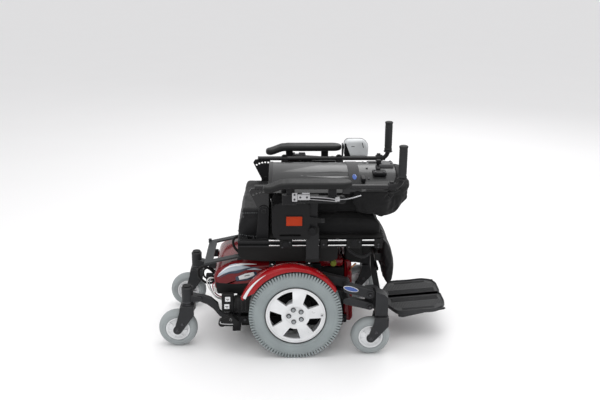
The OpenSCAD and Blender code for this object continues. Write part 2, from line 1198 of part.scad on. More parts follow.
module footplate2d() {
    r = 60;
    union() {
        polygon([[0, 0], [foot_l - r, 0], [foot_l - r, foot_w], [44, foot_w], [0, foot_w - 84]]);
        translate([foot_l - r, foot_w - r])
            circle(r = r);
        translate([foot_l - r - 2, 0])
            square([r + 2, foot_w - r]);
    }
}

module footplate() {
    // hinge line at the inner edge
    translate([foot_x, 0, foot_z])
        rotate([0, -foot_tilt, 0]) {
            translate([0, 4, -foot_t])
                linear_extrude(foot_t)
                    footplate2d();
            // raised outer rim
            translate([0, 4, -2])
                linear_extrude(5)
                    intersection() {
                        difference() {
                            footplate2d();
                            translate([-6, -6])
                                footplate2d();
                        }
                        translate([60, 20])
                            square([foot_l, foot_w]);
                    }
        }
}

module footplate_left() {
    color("#3b3d3f") place()
        footplate();
}

module footplate_right() {
    color("#3b3d3f") place() right()
        footplate();
}

chassis_frame();
battery_box();
batteries();
shroud();
front_panel();
fenders();
bumper_bar();
motor_right();
motor_left();
release_lever_right();
release_lever_left();
wiring_loom();
seat_stand();
tilt_actuator();
drive_tyre_right();
drive_rim_right();
drive_tyre_left();
drive_rim_left();
upper_link_right();
lower_link_right();
caster_head_right();
front_fork_right();
front_tyre_right();
front_hub_right();
upper_link_left();
lower_link_left();
caster_head_left();
front_fork_left();
front_tyre_left();
front_hub_left();
rear_arm_right();
rear_fork_right();
rear_tyre_right();
rear_hub_right();
rear_arm_left();
rear_fork_left();
rear_tyre_left();
rear_hub_left();
seat_frame();
seat_pan();
seat_cushion();
rear_cover();
back_brackets();
back_frame();
back_shell();
back_cushion();
push_handles();
grips();
arm_frame_right();
arm_pad_right();
side_guard_right();
arm_frame_left();
arm_pad_left();
side_guard_left();
joystick_pod();
joystick_stick();
legrest_hanger();
calf_pads();
footplate_right();
footplate_left();
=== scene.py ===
"""Looks of the power wheelchair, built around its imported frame."""

import json
import math

import bmesh
import bpy
from mathutils import Matrix, Vector, noise

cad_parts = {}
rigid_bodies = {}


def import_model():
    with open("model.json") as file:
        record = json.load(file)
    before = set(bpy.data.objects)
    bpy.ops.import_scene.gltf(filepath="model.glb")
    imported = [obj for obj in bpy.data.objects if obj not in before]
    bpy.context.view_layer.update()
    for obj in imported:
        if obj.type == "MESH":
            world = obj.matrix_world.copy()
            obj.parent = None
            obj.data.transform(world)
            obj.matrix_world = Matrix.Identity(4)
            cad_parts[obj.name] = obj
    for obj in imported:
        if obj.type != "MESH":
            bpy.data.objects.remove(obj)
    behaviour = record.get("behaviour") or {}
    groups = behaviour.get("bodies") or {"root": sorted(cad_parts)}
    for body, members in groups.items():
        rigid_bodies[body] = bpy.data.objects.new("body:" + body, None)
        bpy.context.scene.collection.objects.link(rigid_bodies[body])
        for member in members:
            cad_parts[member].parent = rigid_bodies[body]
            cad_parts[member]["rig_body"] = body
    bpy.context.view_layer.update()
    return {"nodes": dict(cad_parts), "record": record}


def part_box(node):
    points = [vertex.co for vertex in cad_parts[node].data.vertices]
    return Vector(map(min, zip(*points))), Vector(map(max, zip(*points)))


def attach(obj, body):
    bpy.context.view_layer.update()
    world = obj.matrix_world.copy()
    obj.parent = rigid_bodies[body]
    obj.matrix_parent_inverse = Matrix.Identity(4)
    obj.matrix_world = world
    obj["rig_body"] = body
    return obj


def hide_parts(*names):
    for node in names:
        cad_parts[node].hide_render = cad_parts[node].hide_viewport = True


bl_info = {
    "name": "Power wheelchair",
    "version": (1, 0, 0),
    "blender": (4, 5, 0),
    "location": "3D View > Sidebar > Wheelchair",
    "description": "Builds the looks of a power wheelchair around its packed frame",
    "category": "Mesh",
}

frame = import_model()
NODES = frame["nodes"]
SLOT = {row["node"]: row["material_slot"] for row in frame["record"]["subparts"]}

MM = 0.001
SIDES = (("right", -1), ("left", 1))
wheel_low, wheel_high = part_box("drive_tyre_right")
AXLE_X = (wheel_low.x + wheel_high.x) / 2

# Places that several pieces share, in millimetres from the floor under the drive axle
AXLE_Z = 178
DRIVE_Y = 264
CASTER_Z = 76
TRAIL = 40
FRONT_SWIVEL = (331, 256)
REAR_SWIVEL = (-423, 180)
FOOT_X = 376
FOOT_Z = 116
FOOT_TILT = math.radians(5)
SHELL_R = 344
SHELL_TOP = 690
FENDER = (-18, 176, 204)


# ---- Places and outlines ----

def at(x, y, z):
    """A point given in millimetres from the floor under the drive axle."""
    return Vector((AXLE_X + x * MM, y * MM, z * MM))


def across(u, v, w):
    """Side-view outline, thickened across the chair."""
    return at(u, w, v)


def upward(u, v, w):
    """Top-view outline, thickened upwards."""
    return at(u, v, w)


def along(u, v, w):
    """Front-view outline, thickened along the chair."""
    return at(w, u, v)


def area(outline):
    return sum(a[0] * b[1] - b[0] * a[1] for a, b in zip(outline, outline[1:] + outline[:1])) / 2


def rounded(outline, radius, steps=4):
    """The outline with its corners rounded."""
    result = []
    count = len(outline)
    for i in range(count):
        corner = Vector(outline[i])
        back = Vector(outline[i - 1]) - corner
        ahead = Vector(outline[(i + 1) % count]) - corner
        reach = min(radius, back.length * 0.45, ahead.length * 0.45)
        start = corner + back.normalized() * reach
        end = corner + ahead.normalized() * reach
        for k in range(steps + 1):
            t = k / steps
            point = start * (1 - t) ** 2 + corner * 2 * t * (1 - t) + end * t * t
            result.append((point.x, point.y))
    return result


def inset_loop(outline, inset):
    """An anticlockwise outline moved inwards."""
    moved = []
    count = len(outline)
    for i in range(count):
        here = Vector(outline[i])
        a = (here - Vector(outline[i - 1])).normalized()
        b = (Vector(outline[(i + 1) % count]) - here).normalized()
        side_a = Vector((-a.y, a.x))
        middle = side_a + Vector((-b.y, b.x))
        middle = middle.normalized() if middle.length > 1e-6 else side_a
        step = middle * (inset / max(0.4, middle.dot(side_a)))
        moved.append((here.x + step.x, here.y + step.y))
    return moved


def oval(cx, cy, rx, ry, count=32):
    return [(cx + rx * math.cos(2 * math.pi * k / count), cy + ry * math.sin(2 * math.pi * k / count))
            for k in range(count)]


def box2d(x0, y0, x1, y1):
    return [(x0, y0), (x1, y0), (x1, y1), (x0, y1)]


def smooth_path(points, steps=6):
    """A smooth curve through the points."""
    points = [Vector(p) for p in points]
    last = len(points) - 1
    result = []
    for i in range(last):
        a, b = points[max(i - 1, 0)], points[i]
        c, d = points[i + 1], points[min(i + 2, last)]
        for k in range(steps):
            t = k / steps
            result.append(0.5 * (2 * b + (c - a) * t + (2 * a - 5 * b + 4 * c - d) * t * t
                                 + (3 * b - a - 3 * c + d) * t ** 3))
    result.append(points[last])
    return result


# ---- Mesh builders ----

def bridge(bm, loops, closed_ends=True, closed_ring=True):
    """Joins a row of vertex loops with quads."""
    for low, high in zip(loops, loops[1:]):
        count = len(low)
        for k in range(count if closed_ring else count - 1):
            n = (k + 1) % count
            bm.faces.new((low[k], low[n], high[n], high[k]))
    if closed_ends:
        bm.faces.new(loops[0][::-1])
        bm.faces.new(loops[-1])


def pillow(bm, outline, w0, w1, radius, place=across, steps=4):
    """A slab whose edges roll over by radius."""
    if area(outline) < 0:
        outline = outline[::-1]
    radius = min(radius, (w1 - w0) / 2 - 0.01)
    stations = []
    for k in range(steps + 1):
        a = math.pi / 2 * k / steps
        stations.append((radius * (1 - math.cos(a)), radius * (1 - math.sin(a))))
    loops = []
    for depth, inset in stations:
        loops.append([bm.verts.new(place(u, v, w0 + depth)) for u, v in inset_loop(outline, inset)])
    for depth, inset in stations[::-1]:
        loops.append([bm.verts.new(place(u, v, w1 - depth)) for u, v in inset_loop(outline, inset)])
    bridge(bm, loops)


AXES = {
    "X": (Vector((0, 1, 0)), Vector((0, 0, 1)), Vector((1, 0, 0))),
    "Y": (Vector((1, 0, 0)), Vector((0, 0, 1)), Vector((0, 1, 0))),
    "Z": (Vector((1, 0, 0)), Vector((0, 1, 0)), Vector((0, 0, 1))),
}


def lathe(bm, profile, centre, axis="Y", segments=64, flip=1):
    """Turns a closed profile of (radius, distance along) about an axis."""
    first, second, third = AXES[axis]
    rings = []
    for radius, distance in profile:
        rings.append([
            bm.verts.new(centre + (first * math.cos(2 * math.pi * k / segments) * radius
                                   + second * math.sin(2 * math.pi * k / segments) * radius
                                   + third * distance * flip) * MM)
            for k in range(segments)
        ])
    bridge(bm, rings + rings[:1], closed_ends=False)


def tube(bm, points, radius, sides=12):
    """A round tube along points in metres. The radius may be a function of the way along."""
    last = len(points) - 1
    loops = []
    normal = None
    for i, point in enumerate(points):
        heading = (points[min(i + 1, last)] - points[max(i - 1, 0)]).normalized()
        if normal is None:
            normal = heading.orthogonal().normalized()
        else:
            normal = (normal - heading * normal.dot(heading)).normalized()
        side = heading.cross(normal)
        r = (radius(i / last) if callable(radius) else radius) * MM
        loops.append([
            bm.verts.new(point + (normal * math.cos(2 * math.pi * k / sides)
                                  + side * math.sin(2 * math.pi * k / sides)) * r)
            for k in range(sides)
        ])
    bridge(bm, loops)


def ribbon(bm, path, widths, surface, columns=4):
    """A thin blade that lies on a surface given as a function of side-view x and z."""
    points = smooth_path([(x, z) for x, z in path], 8)
    last = len(points) - 1
    rows = []
    for i, point in enumerate(points):
        heading = (points[min(i + 1, last)] - points[max(i - 1, 0)]).normalized()
        side = Vector((-heading.y, heading.x))
        place = i / last * (len(widths) - 1)
        k = min(int(place), len(widths) - 2)
        width = widths[k] + (widths[k + 1] - widths[k]) * (place - k)
        rows.append([
            bm.verts.new(surface(*(point + side * width * (c / columns - 0.5))))
            for c in range(columns + 1)
        ])
    bridge(bm, rows, closed_ends=False, closed_ring=False)


def make(name, bm, finish_name, sharp=38.0, outward=True):
    """Turns a bmesh into a piece whose place is in its mesh."""
    bmesh.ops.remove_doubles(bm, verts=bm.verts, dist=1e-6)
    bmesh.ops.dissolve_degenerate(bm, edges=bm.edges, dist=1e-6)
    if outward:
        bmesh.ops.recalc_face_normals(bm, faces=bm.faces)
    limit = math.radians(sharp)
    for face in bm.faces:
        face.smooth = True
    for edge in bm.edges:
        edge.smooth = len(edge.link_faces) != 2 or edge.calc_face_angle(0.0) < limit
    mesh = bpy.data.meshes.new(name)
    bm.to_mesh(mesh)
    bm.free()
    piece = bpy.data.objects.new(name, mesh)
    bpy.context.scene.collection.objects.link(piece)
    mesh.materials.append(finish(finish_name))
    return piece


def settle(piece):
    """Applies a piece's modifiers to its mesh."""
    graph = bpy.context.evaluated_depsgraph_get()
    graph.update()
    mesh = bpy.data.meshes.new_from_object(piece.evaluated_get(graph))
    piece.modifiers.clear()
    old = piece.data
    piece.data = mesh
    mesh.name = piece.name
    bpy.data.meshes.remove(old)
    return piece


def soften_edges(piece, width, segments=2, angle=38.0):
    """Rolls a piece's sharp edges over, so that they catch the light."""
    bevel = piece.modifiers.new("Edges", "BEVEL")
    bevel.width = width * MM
    bevel.segments = segments
    bevel.limit_method = "ANGLE"
    bevel.angle_limit = math.radians(angle)
    bevel.use_clamp_overlap = True
    weighted = piece.modifiers.new("Shading", "WEIGHTED_NORMAL")
    weighted.keep_sharp = True
    return settle(piece)


def subdivide(piece, levels=1):
    smooth = piece.modifiers.new("Smooth", "SUBSURF")
    smooth.levels = levels
    smooth.render_levels = levels
    return settle(piece)


def thicken(piece, thickness):
    wall = piece.modifiers.new("Wall", "SOLIDIFY")
    wall.thickness = thickness * MM
    wall.offset = -1.0
    return settle(piece)


def fit(piece, body, slot=None, *nodes):
    """Sets a finished piece on its body and hides the nodes that it stands for. The slot is not used."""
    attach(piece, body)
    if nodes:
        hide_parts(*nodes)
    return piece


def merged(node):
    """A merged copy of a node's mesh."""
    bm = bmesh.new()
    bm.from_mesh(NODES[node].data)
    bmesh.ops.remove_doubles(bm, verts=bm.verts, dist=2e-5)
    return bm


def dress(node, width, segments=2, finish_name=None):
    """A copy of a node with rolled edges stands for the node."""
    bm = merged(node)
    bmesh.ops.dissolve_limit(bm, angle_limit=math.radians(0.4), verts=bm.verts, edges=bm.edges)
    piece = make(node + ".finished", bm, finish_name or SLOT[node], outward=False)
    soften_edges(piece, width, segments)
    return fit(piece, NODES[node]["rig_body"], SLOT[node], node)


# ---- Node trees ----

def add(tree, kind, inputs=None, **settings):
    """Adds a node, sets its settings and sets or links its inputs."""
    made = tree.nodes.new(kind)
    for key, value in settings.items():
        setattr(made, key, value)
    for key, value in (inputs or {}).items():
        if isinstance(value, bpy.types.NodeSocket):
            tree.links.new(value, made.inputs[key])
        else:
            made.inputs[key].default_value = value
    return made


def new_group(name, kind, inputs, outputs):
    """A node group with named sockets, and its input and output nodes."""
    tree = bpy.data.node_groups.new(name, kind)
    for label, socket, value in inputs:
        made = tree.interface.new_socket(name=label, in_out="INPUT", socket_type=socket)
        if value is not None:
            made.default_value = value
    for label, socket in outputs:
        tree.interface.new_socket(name=label, in_out="OUTPUT", socket_type=socket)
    return tree, tree.nodes.new("NodeGroupInput"), tree.nodes.new("NodeGroupOutput")


def math_node(tree, operation, a, b=0.0, clamp=False):
    return add(tree, "ShaderNodeMath", {0: a, 1: b}, operation=operation, use_clamp=clamp).outputs[0]


def mix_colour(tree, factor, a, b, blend="MIX"):
    return add(tree, "ShaderNodeMix", {0: factor, 6: a, 7: b}, data_type="RGBA", blend_type=blend).outputs[2]


VECTOR = "NodeSocketVector"
FLOAT = "NodeSocketFloat"
COLOUR = "NodeSocketColor"


def grain_group():
    """Moulded grain: a fine pebble height and a slow cloud."""
    tree, gin, gout = new_group(
        "Moulded grain", "ShaderNodeTree",
        [("Vector", VECTOR, None), ("Scale", FLOAT, 900.0), ("Cloud Scale", FLOAT, 14.0)],
        [("Height", FLOAT), ("Cloud", FLOAT)])
    fine = add(tree, "ShaderNodeTexNoise", {"Vector": gin.outputs["Vector"], "Scale": gin.outputs["Scale"],
                                            "Detail": 3.0, "Roughness": 0.6})
    pebble = add(tree, "ShaderNodeTexVoronoi",
                 {"Vector": gin.outputs["Vector"], "Scale": gin.outputs["Scale"]})
    cloud = add(tree, "ShaderNodeTexNoise",
                {"Vector": gin.outputs["Vector"], "Scale": gin.outputs["Cloud Scale"],
                                             "Detail": 4.0})
    height = math_node(tree, "ADD", fine.outputs["Fac"], pebble.outputs["Distance"])
    tree.links.new(height, gout.inputs["Height"])
    tree.links.new(cloud.outputs["Fac"], gout.inputs["Cloud"])
    return tree


def weave_group():
    """Woven cloth: threads that pass over and under each other in every direction of the cloth."""
    tree, gin, gout = new_group(
        "Woven threads", "ShaderNodeTree",
        [("Vector", VECTOR, None), ("Thread Scale", FLOAT, 620.0), ("Cloud Scale", FLOAT, 9.0)],
        [("Height", FLOAT), ("Cloud", FLOAT)])
    cells = add(tree, "ShaderNodeTexVoronoi",
                {"Vector": gin.outputs["Vector"], "Scale": gin.outputs["Thread Scale"], "Randomness": 0.12},
                distance="CHEBYCHEV")
    slub = add(tree, "ShaderNodeTexNoise", {"Vector": gin.outputs["Vector"], "Scale": 260.0, "Detail": 2.0})
    cloud = add(tree, "ShaderNodeTexNoise",
                {"Vector": gin.outputs["Vector"], "Scale": gin.outputs["Cloud Scale"],
                                             "Detail": 5.0})
    height = math_node(tree, "SUBTRACT", slub.outputs["Fac"], cells.outputs["Distance"])
    tree.links.new(height, gout.inputs["Height"])
    tree.links.new(cloud.outputs["Fac"], gout.inputs["Cloud"])
    return tree


def hide_group():
    """Pressed hide grain: cells with sunk lines between them."""
    tree, gin, gout = new_group(
        "Pressed hide", "ShaderNodeTree",
        [("Vector", VECTOR, None), ("Cell Scale", FLOAT, 420.0), ("Cloud Scale", FLOAT, 10.0)],
        [("Height", FLOAT), ("Cloud", FLOAT)])
    cells = add(tree, "ShaderNodeTexVoronoi",
                {"Vector": gin.outputs["Vector"], "Scale": gin.outputs["Cell Scale"]},
                feature="DISTANCE_TO_EDGE")
    sunk = math_node(tree, "MULTIPLY", cells.outputs["Distance"], 3.0, clamp=True)
    cloud = add(tree, "ShaderNodeTexNoise",
                {"Vector": gin.outputs["Vector"], "Scale": gin.outputs["Cloud Scale"],
                                             "Detail": 4.0})
    tree.links.new(sunk, gout.inputs["Height"])
    tree.links.new(cloud.outputs["Fac"], gout.inputs["Cloud"])
    return tree


def brushed_group():
    """Drawn metal: fine streaks along the chair."""
    tree, gin, gout = new_group(
        "Drawn streaks", "ShaderNodeTree",
        [("Vector", VECTOR, None), ("Streak Scale", FLOAT, 900.0), ("Cloud Scale", FLOAT, 12.0)],
        [("Height", FLOAT), ("Cloud", FLOAT)])
    stretched = add(tree, "ShaderNodeMapping", {"Vector": gin.outputs["Vector"], "Scale": (0.02, 1.0, 1.0)})
    streaks = add(tree, "ShaderNodeTexNoise", {"Vector": stretched.outputs[0],
                                               "Scale": gin.outputs["Streak Scale"], "Detail": 2.0})
    cloud = add(tree, "ShaderNodeTexNoise",
                {"Vector": gin.outputs["Vector"], "Scale": gin.outputs["Cloud Scale"],
                                             "Detail": 3.0})
    tree.links.new(streaks.outputs["Fac"], gout.inputs["Height"])
    tree.links.new(cloud.outputs["Fac"], gout.inputs["Cloud"])
    return tree


def dust_group():
    """Dust that settles on faces that look up."""
    tree, gin, gout = new_group(
        "Settled dust", "ShaderNodeTree",
        [("Vector", VECTOR, None), ("Colour", COLOUR, (0.05, 0.05, 0.05, 1)),
         ("Dust Colour", COLOUR, (0.20, 0.195, 0.185, 1)), ("Amount", FLOAT, 0.1)],
        [("Colour", COLOUR), ("Mask", FLOAT)])
    normal = add(tree, "ShaderNodeNewGeometry").outputs["Normal"]
    up = add(tree, "ShaderNodeSeparateXYZ", {0: normal}).outputs["Z"]
    patch = add(tree, "ShaderNodeTexNoise", {"Vector": gin.outputs["Vector"], "Scale": 26.0, "Detail": 6.0})
    lying = math_node(tree, "MULTIPLY", math_node(tree, "MAXIMUM", up, 0.12), patch.outputs["Fac"])
    mask = math_node(tree, "MULTIPLY", lying, gin.outputs["Amount"], clamp=True)
    tree.links.new(mix_colour(tree, mask, gin.outputs["Colour"], gin.outputs["Dust Colour"]),
                   gout.inputs["Colour"])
    tree.links.new(mask, gout.inputs["Mask"])
    return tree


def wear_group():
    """Rubbed edges: the bare colour shows where a surface turns sharply."""
    tree, gin, gout = new_group(
        "Rubbed edges", "ShaderNodeTree",
        [("Vector", VECTOR, None), ("Colour", COLOUR, (0.05, 0.05, 0.05, 1)),
         ("Bare Colour", COLOUR, (0.3, 0.3, 0.3, 1)), ("Amount", FLOAT, 0.3)],
        [("Colour", COLOUR), ("Mask", FLOAT)])
    rolled = add(tree, "ShaderNodeBevel", {"Radius": 0.0025}, samples=4)
    normal = add(tree, "ShaderNodeNewGeometry").outputs["Normal"]
    facing = add(tree, "ShaderNodeVectorMath", {0: rolled.outputs[0], 1: normal}, operation="DOT_PRODUCT")
    turn = math_node(tree, "MULTIPLY", math_node(tree, "SUBTRACT", 1.0, facing.outputs["Value"]), 5.0,
                     clamp=True)
    rub = add(tree, "ShaderNodeTexNoise", {"Vector": gin.outputs["Vector"], "Scale": 60.0, "Detail": 5.0})
    worn = math_node(tree, "MULTIPLY", turn, rub.outputs["Fac"])
    mask = math_node(tree, "MULTIPLY", worn, gin.outputs["Amount"], clamp=True)
    tree.links.new(mix_colour(tree, mask, gin.outputs["Colour"], gin.outputs["Bare Colour"]),
                   gout.inputs["Colour"])
    tree.links.new(mask, gout.inputs["Mask"])
    return tree


GROUPS = {}


def group(name):
    """A shared node group, built the first time that a material needs it."""
    builders = {"grain": grain_group, "weave": weave_group, "hide": hide_group, "brushed": brushed_group,
                "dust": dust_group, "wear": wear_group}
    if name not in GROUPS:
        GROUPS[name] = builders[name]()
    return GROUPS[name]


def row(kind, colour, rough, metal=0.0, coat=0.0, scale=900.0, bump=0.25, wear=0.0, dust=0.08, spread=0.25,
        sheen=0.0):
    """One finish: its surface kind, colour and how rough, metallic, coated, grained, worn and dusty it is."""
    return {"kind": kind, "colour": colour, "rough": rough, "metal": metal, "coat": coat, "scale": scale,
            "bump": bump, "wear": wear, "dust": dust, "spread": spread, "sheen": sheen}


FINISHES = {
    "chassis_black": row("grain", (0.011, 0.011, 0.012), 0.5, wear=0.4),
    "tray_black": row("grain", (0.010, 0.010, 0.010), 0.6, scale=700),
    "battery_case": row("grain", (0.014, 0.015, 0.016), 0.45),
    "red_gloss": row("grain", (0.15, 0.002, 0.005), 0.25, coat=0.45, scale=1800, bump=0.03, dust=0.01,
                     spread=0.15),
    "fender_red": row("grain", (0.31, 0.003, 0.006), 0.25, coat=0.4, scale=1800, bump=0.03, dust=0.01,
                      spread=0.12),
    "bar_slate": row("grain", (0.036, 0.039, 0.041), 0.42, wear=0.5),
    "motor_black": row("grain", (0.009, 0.009, 0.0095), 0.45, wear=0.3),
    "lever_black": row("grain", (0.011, 0.011, 0.0115), 0.4),
    "cable_black": row("grain", (0.009, 0.009, 0.009), 0.45, scale=1400, bump=0.1),
    "actuator_silver": row("brushed", (0.55, 0.47, 0.48), 0.3, metal=0.9, bump=0.1),
    "tyre_grey": row("grain", (0.270, 0.305, 0.310), 0.72, scale=1100, bump=0.3, dust=0.15),
    "rim_silver": row("grain", (0.74, 0.75, 0.76), 0.3, metal=0.25, coat=0.6, scale=1600, bump=0.04,
                      dust=0.04),
    "caster_grey": row("grain", (0.300, 0.325, 0.330), 0.68, scale=1100, bump=0.25, dust=0.12),
    "hub_pale": row("grain", (0.78, 0.79, 0.80), 0.32, coat=0.4, bump=0.08, dust=0.08),
    "arm_black": row("grain", (0.028, 0.029, 0.031), 0.42, scale=1300, bump=0.2, wear=0.35),
    "rail_aluminium": row("brushed", (0.020, 0.020, 0.021), 0.25, metal=0.3, bump=0.08, dust=0.03),
    "fabric_black": row("weave", (0.008, 0.008, 0.0084), 0.68, scale=620, bump=0.5, dust=0.02, spread=0.35,
                        sheen=0.06),
    "vinyl_black": row("hide", (0.011, 0.011, 0.0115), 0.42, scale=380, bump=0.35, dust=0.05),
    "cover_black": row("hide", (0.012, 0.012, 0.013), 0.5, scale=520, bump=0.3, dust=0.07),
    "cane_silver": row("brushed", (0.014, 0.014, 0.015), 0.28, metal=0.0, bump=0.08, coat=0.4),
    "shell_grey": row("grain", (0.022, 0.0225, 0.023), 0.34, scale=1500, bump=0.06, dust=0.05, spread=0.15,
                      coat=0.35),
    "handle_black": row("grain", (0.014, 0.014, 0.015), 0.42, wear=0.3),
    "grip_rubber": row("grain", (0.028, 0.029, 0.030), 0.62, scale=1000, bump=0.3),
    "arm_metal": row("grain", (0.012, 0.012, 0.013), 0.38, wear=0.5),
    "pad_black": row("hide", (0.013, 0.0133, 0.0136), 0.45, scale=560, bump=0.2, dust=0.06),
    "guard_black": row("grain", (0.009, 0.009, 0.0095), 0.45, scale=800, bump=0.2),
    "pod_silver": row("grain", (0.64, 0.66, 0.67), 0.33, coat=0.3, scale=1500, bump=0.06, dust=0.03),
    "stick_black": row("grain", (0.008, 0.008, 0.009), 0.5, bump=0.1),
    "hanger_grey": row("brushed", (0.018, 0.0185, 0.019), 0.4, metal=0.1, bump=0.1),
    "foot_grey": row("grain", (0.040, 0.041, 0.043), 0.5, scale=650, bump=0.35, dust=0.12),
    # trim that only the looks have
    "bright_steel": row("brushed", (0.80, 0.80, 0.80), 0.22, metal=1.0, bump=0.06, dust=0.02),
    "dull_steel": row("brushed", (0.42, 0.42, 0.43), 0.28, metal=1.0, bump=0.06, dust=0.03),
    "plate_grey": row("grain", (0.10, 0.10, 0.102), 0.6, scale=500, bump=0.8, dust=0.2),
    "bolt_dark": row("brushed", (0.06, 0.06, 0.065), 0.35, metal=0.8, bump=0.1),
    "pale_mark": row("grain", (0.76, 0.77, 0.78), 0.4, bump=0.02, dust=0.05, spread=0.05),
    "silver_blade": row("grain", (0.36, 0.42, 0.48), 0.3, coat=0.8, bump=0.02, spread=0.5, dust=0.02),
    "night_blade": row("grain", (0.02, 0.035, 0.07), 0.3, coat=0.8, bump=0.02, dust=0.02),
    "badge_blue": row("grain", (0.035, 0.09, 0.34), 0.25, coat=0.9, bump=0.02, dust=0.01, spread=0.6),
    "reflector_orange": row("hide", (0.40, 0.030, 0.002), 0.3, coat=0.1, scale=300, bump=0.5, dust=0.0,
                            spread=0.4),
    "lead_white": row("grain", (0.70, 0.70, 0.68), 0.4, bump=0.05),
    "lead_red": row("grain", (0.42, 0.02, 0.05), 0.4, bump=0.05),
    "lead_grey": row("grain", (0.30, 0.32, 0.33), 0.45, bump=0.05),
    "webbing": row("weave", (0.010, 0.010, 0.011), 0.55, scale=800, bump=0.6, dust=0.04, spread=0.2,
                   sheen=0.2),
    "copper": row("brushed", (0.50, 0.22, 0.10), 0.3, metal=0.9, bump=0.1),
    "lime_cap": row("grain", (0.20, 0.23, 0.03), 0.35, bump=0.05),
}


def finish(name):
    """The material of that name, built the first time that a piece asks for it."""
    found = bpy.data.materials.get("finish_" + name)
    if found:
        return found
    look = FINISHES[name]
    colours = bpy.context.scene.chair_colours
    base = {"fender_red": colours.fender, "red_gloss": colours.panels, "tyre_grey": colours.tyres,
            "fabric_black": colours.fabric, "reflector_orange": colours.reflector}.get(name, look["colour"])
    base = tuple(base)[:3] + (1.0,)
    made = bpy.data.materials.new("finish_" + name)
    made.use_nodes = True
    tree = made.node_tree
    tree.nodes.clear()
    vector = add(tree, "ShaderNodeTexCoord").outputs["Object"]
    surface = add(tree, "ShaderNodeGroup", node_tree=group(look["kind"]))
    tree.links.new(vector, surface.inputs[0])
    surface.inputs[1].default_value = look["scale"]
    dark = tuple(c * (1 - look["spread"]) for c in base[:3]) + (1.0,)
    light = tuple(min(1.0, c * (1 + look["spread"])) for c in base[:3]) + (1.0,)
    colour = mix_colour(tree, surface.outputs["Cloud"], dark, light)
    if look["wear"]:
        wear = add(tree, "ShaderNodeGroup", node_tree=group("wear"))
        tree.links.new(vector, wear.inputs["Vector"])
        tree.links.new(colour, wear.inputs["Colour"])
        wear.inputs["Amount"].default_value = look["wear"]
        colour = wear.outputs["Colour"]
    dust = add(tree, "ShaderNodeGroup", node_tree=group("dust"))
    tree.links.new(vector, dust.inputs["Vector"])
    tree.links.new(colour, dust.inputs["Colour"])
    dust.inputs["Amount"].default_value = look["dust"]
    bump = add(tree, "ShaderNodeBump", {"Strength": look["bump"], "Distance": 0.0006,
                                        "Height": surface.outputs["Height"]})
    rough = math_node(tree, "ADD", math_node(tree, "MULTIPLY", surface.outputs["Cloud"], 0.16),
                      look["rough"] - 0.08, clamp=True)
    shader = add(tree, "ShaderNodeBsdfPrincipled", {
        "Base Color": dust.outputs["Colour"], "Roughness": rough, "Metallic": look["metal"],
        "Coat Weight": look["coat"], "Coat Roughness": 0.06, "Normal": bump.outputs[0]})
    if min(look["colour"]) < 0.05:
        shader.inputs["Specular IOR Level"].default_value = 0.14
    if look["sheen"]:
        shader.inputs["Sheen Weight"].default_value = look["sheen"]
        shader.inputs["Sheen Roughness"].default_value = 0.5
    output = add(tree, "ShaderNodeOutputMaterial")
    tree.links.new(shader.outputs[0], output.inputs[0])
    return made


# ---- Geometry node trees for what repeats ----

GEOMETRY = "NodeSocketGeometry"
MATERIAL = "NodeSocketMaterial"


def end_tree(tree, gin, gout, geometry):
    """Ends a tree in real geometry with its material."""
    real = add(tree, "GeometryNodeRealizeInstances", {0: geometry})
    coated = add(tree, "GeometryNodeSetMaterial",
                 {"Geometry": real.outputs[0], "Material": gin.outputs["Finish"]})
    tree.links.new(coated.outputs[0], gout.inputs[0])
    return tree


def studs_tree():
    """A stud on each point of the host, which faces along the point's 'facing' attribute."""
    tree, gin, gout = new_group(
        "Studs", "GeometryNodeTree",
        [("Geometry", GEOMETRY, None), ("Radius", FLOAT, 0.005), ("Top Radius", FLOAT, 0.004),
         ("Height", FLOAT, 0.003), ("Sides", "NodeSocketInt", 6), ("Finish", MATERIAL, None)],
        [("Geometry", GEOMETRY)])
    facing = add(tree, "GeometryNodeInputNamedAttribute", {"Name": "facing"}, data_type="FLOAT_VECTOR")
    vector = next(s for s in facing.outputs if s.enabled and s.name == "Attribute")
    turn = add(tree, "FunctionNodeAlignRotationToVector", {"Vector": vector}, axis="Z")
    stud = add(tree, "GeometryNodeMeshCone", {
        "Vertices": gin.outputs["Sides"], "Radius Top": gin.outputs["Top Radius"],
        "Radius Bottom": gin.outputs["Radius"], "Depth": gin.outputs["Height"]})
    placed = add(tree, "GeometryNodeInstanceOnPoints", {
        "Points": gin.outputs["Geometry"], "Instance": stud.outputs["Mesh"], "Rotation": turn.outputs[0]})
    return end_tree(tree, gin, gout, placed.outputs[0])


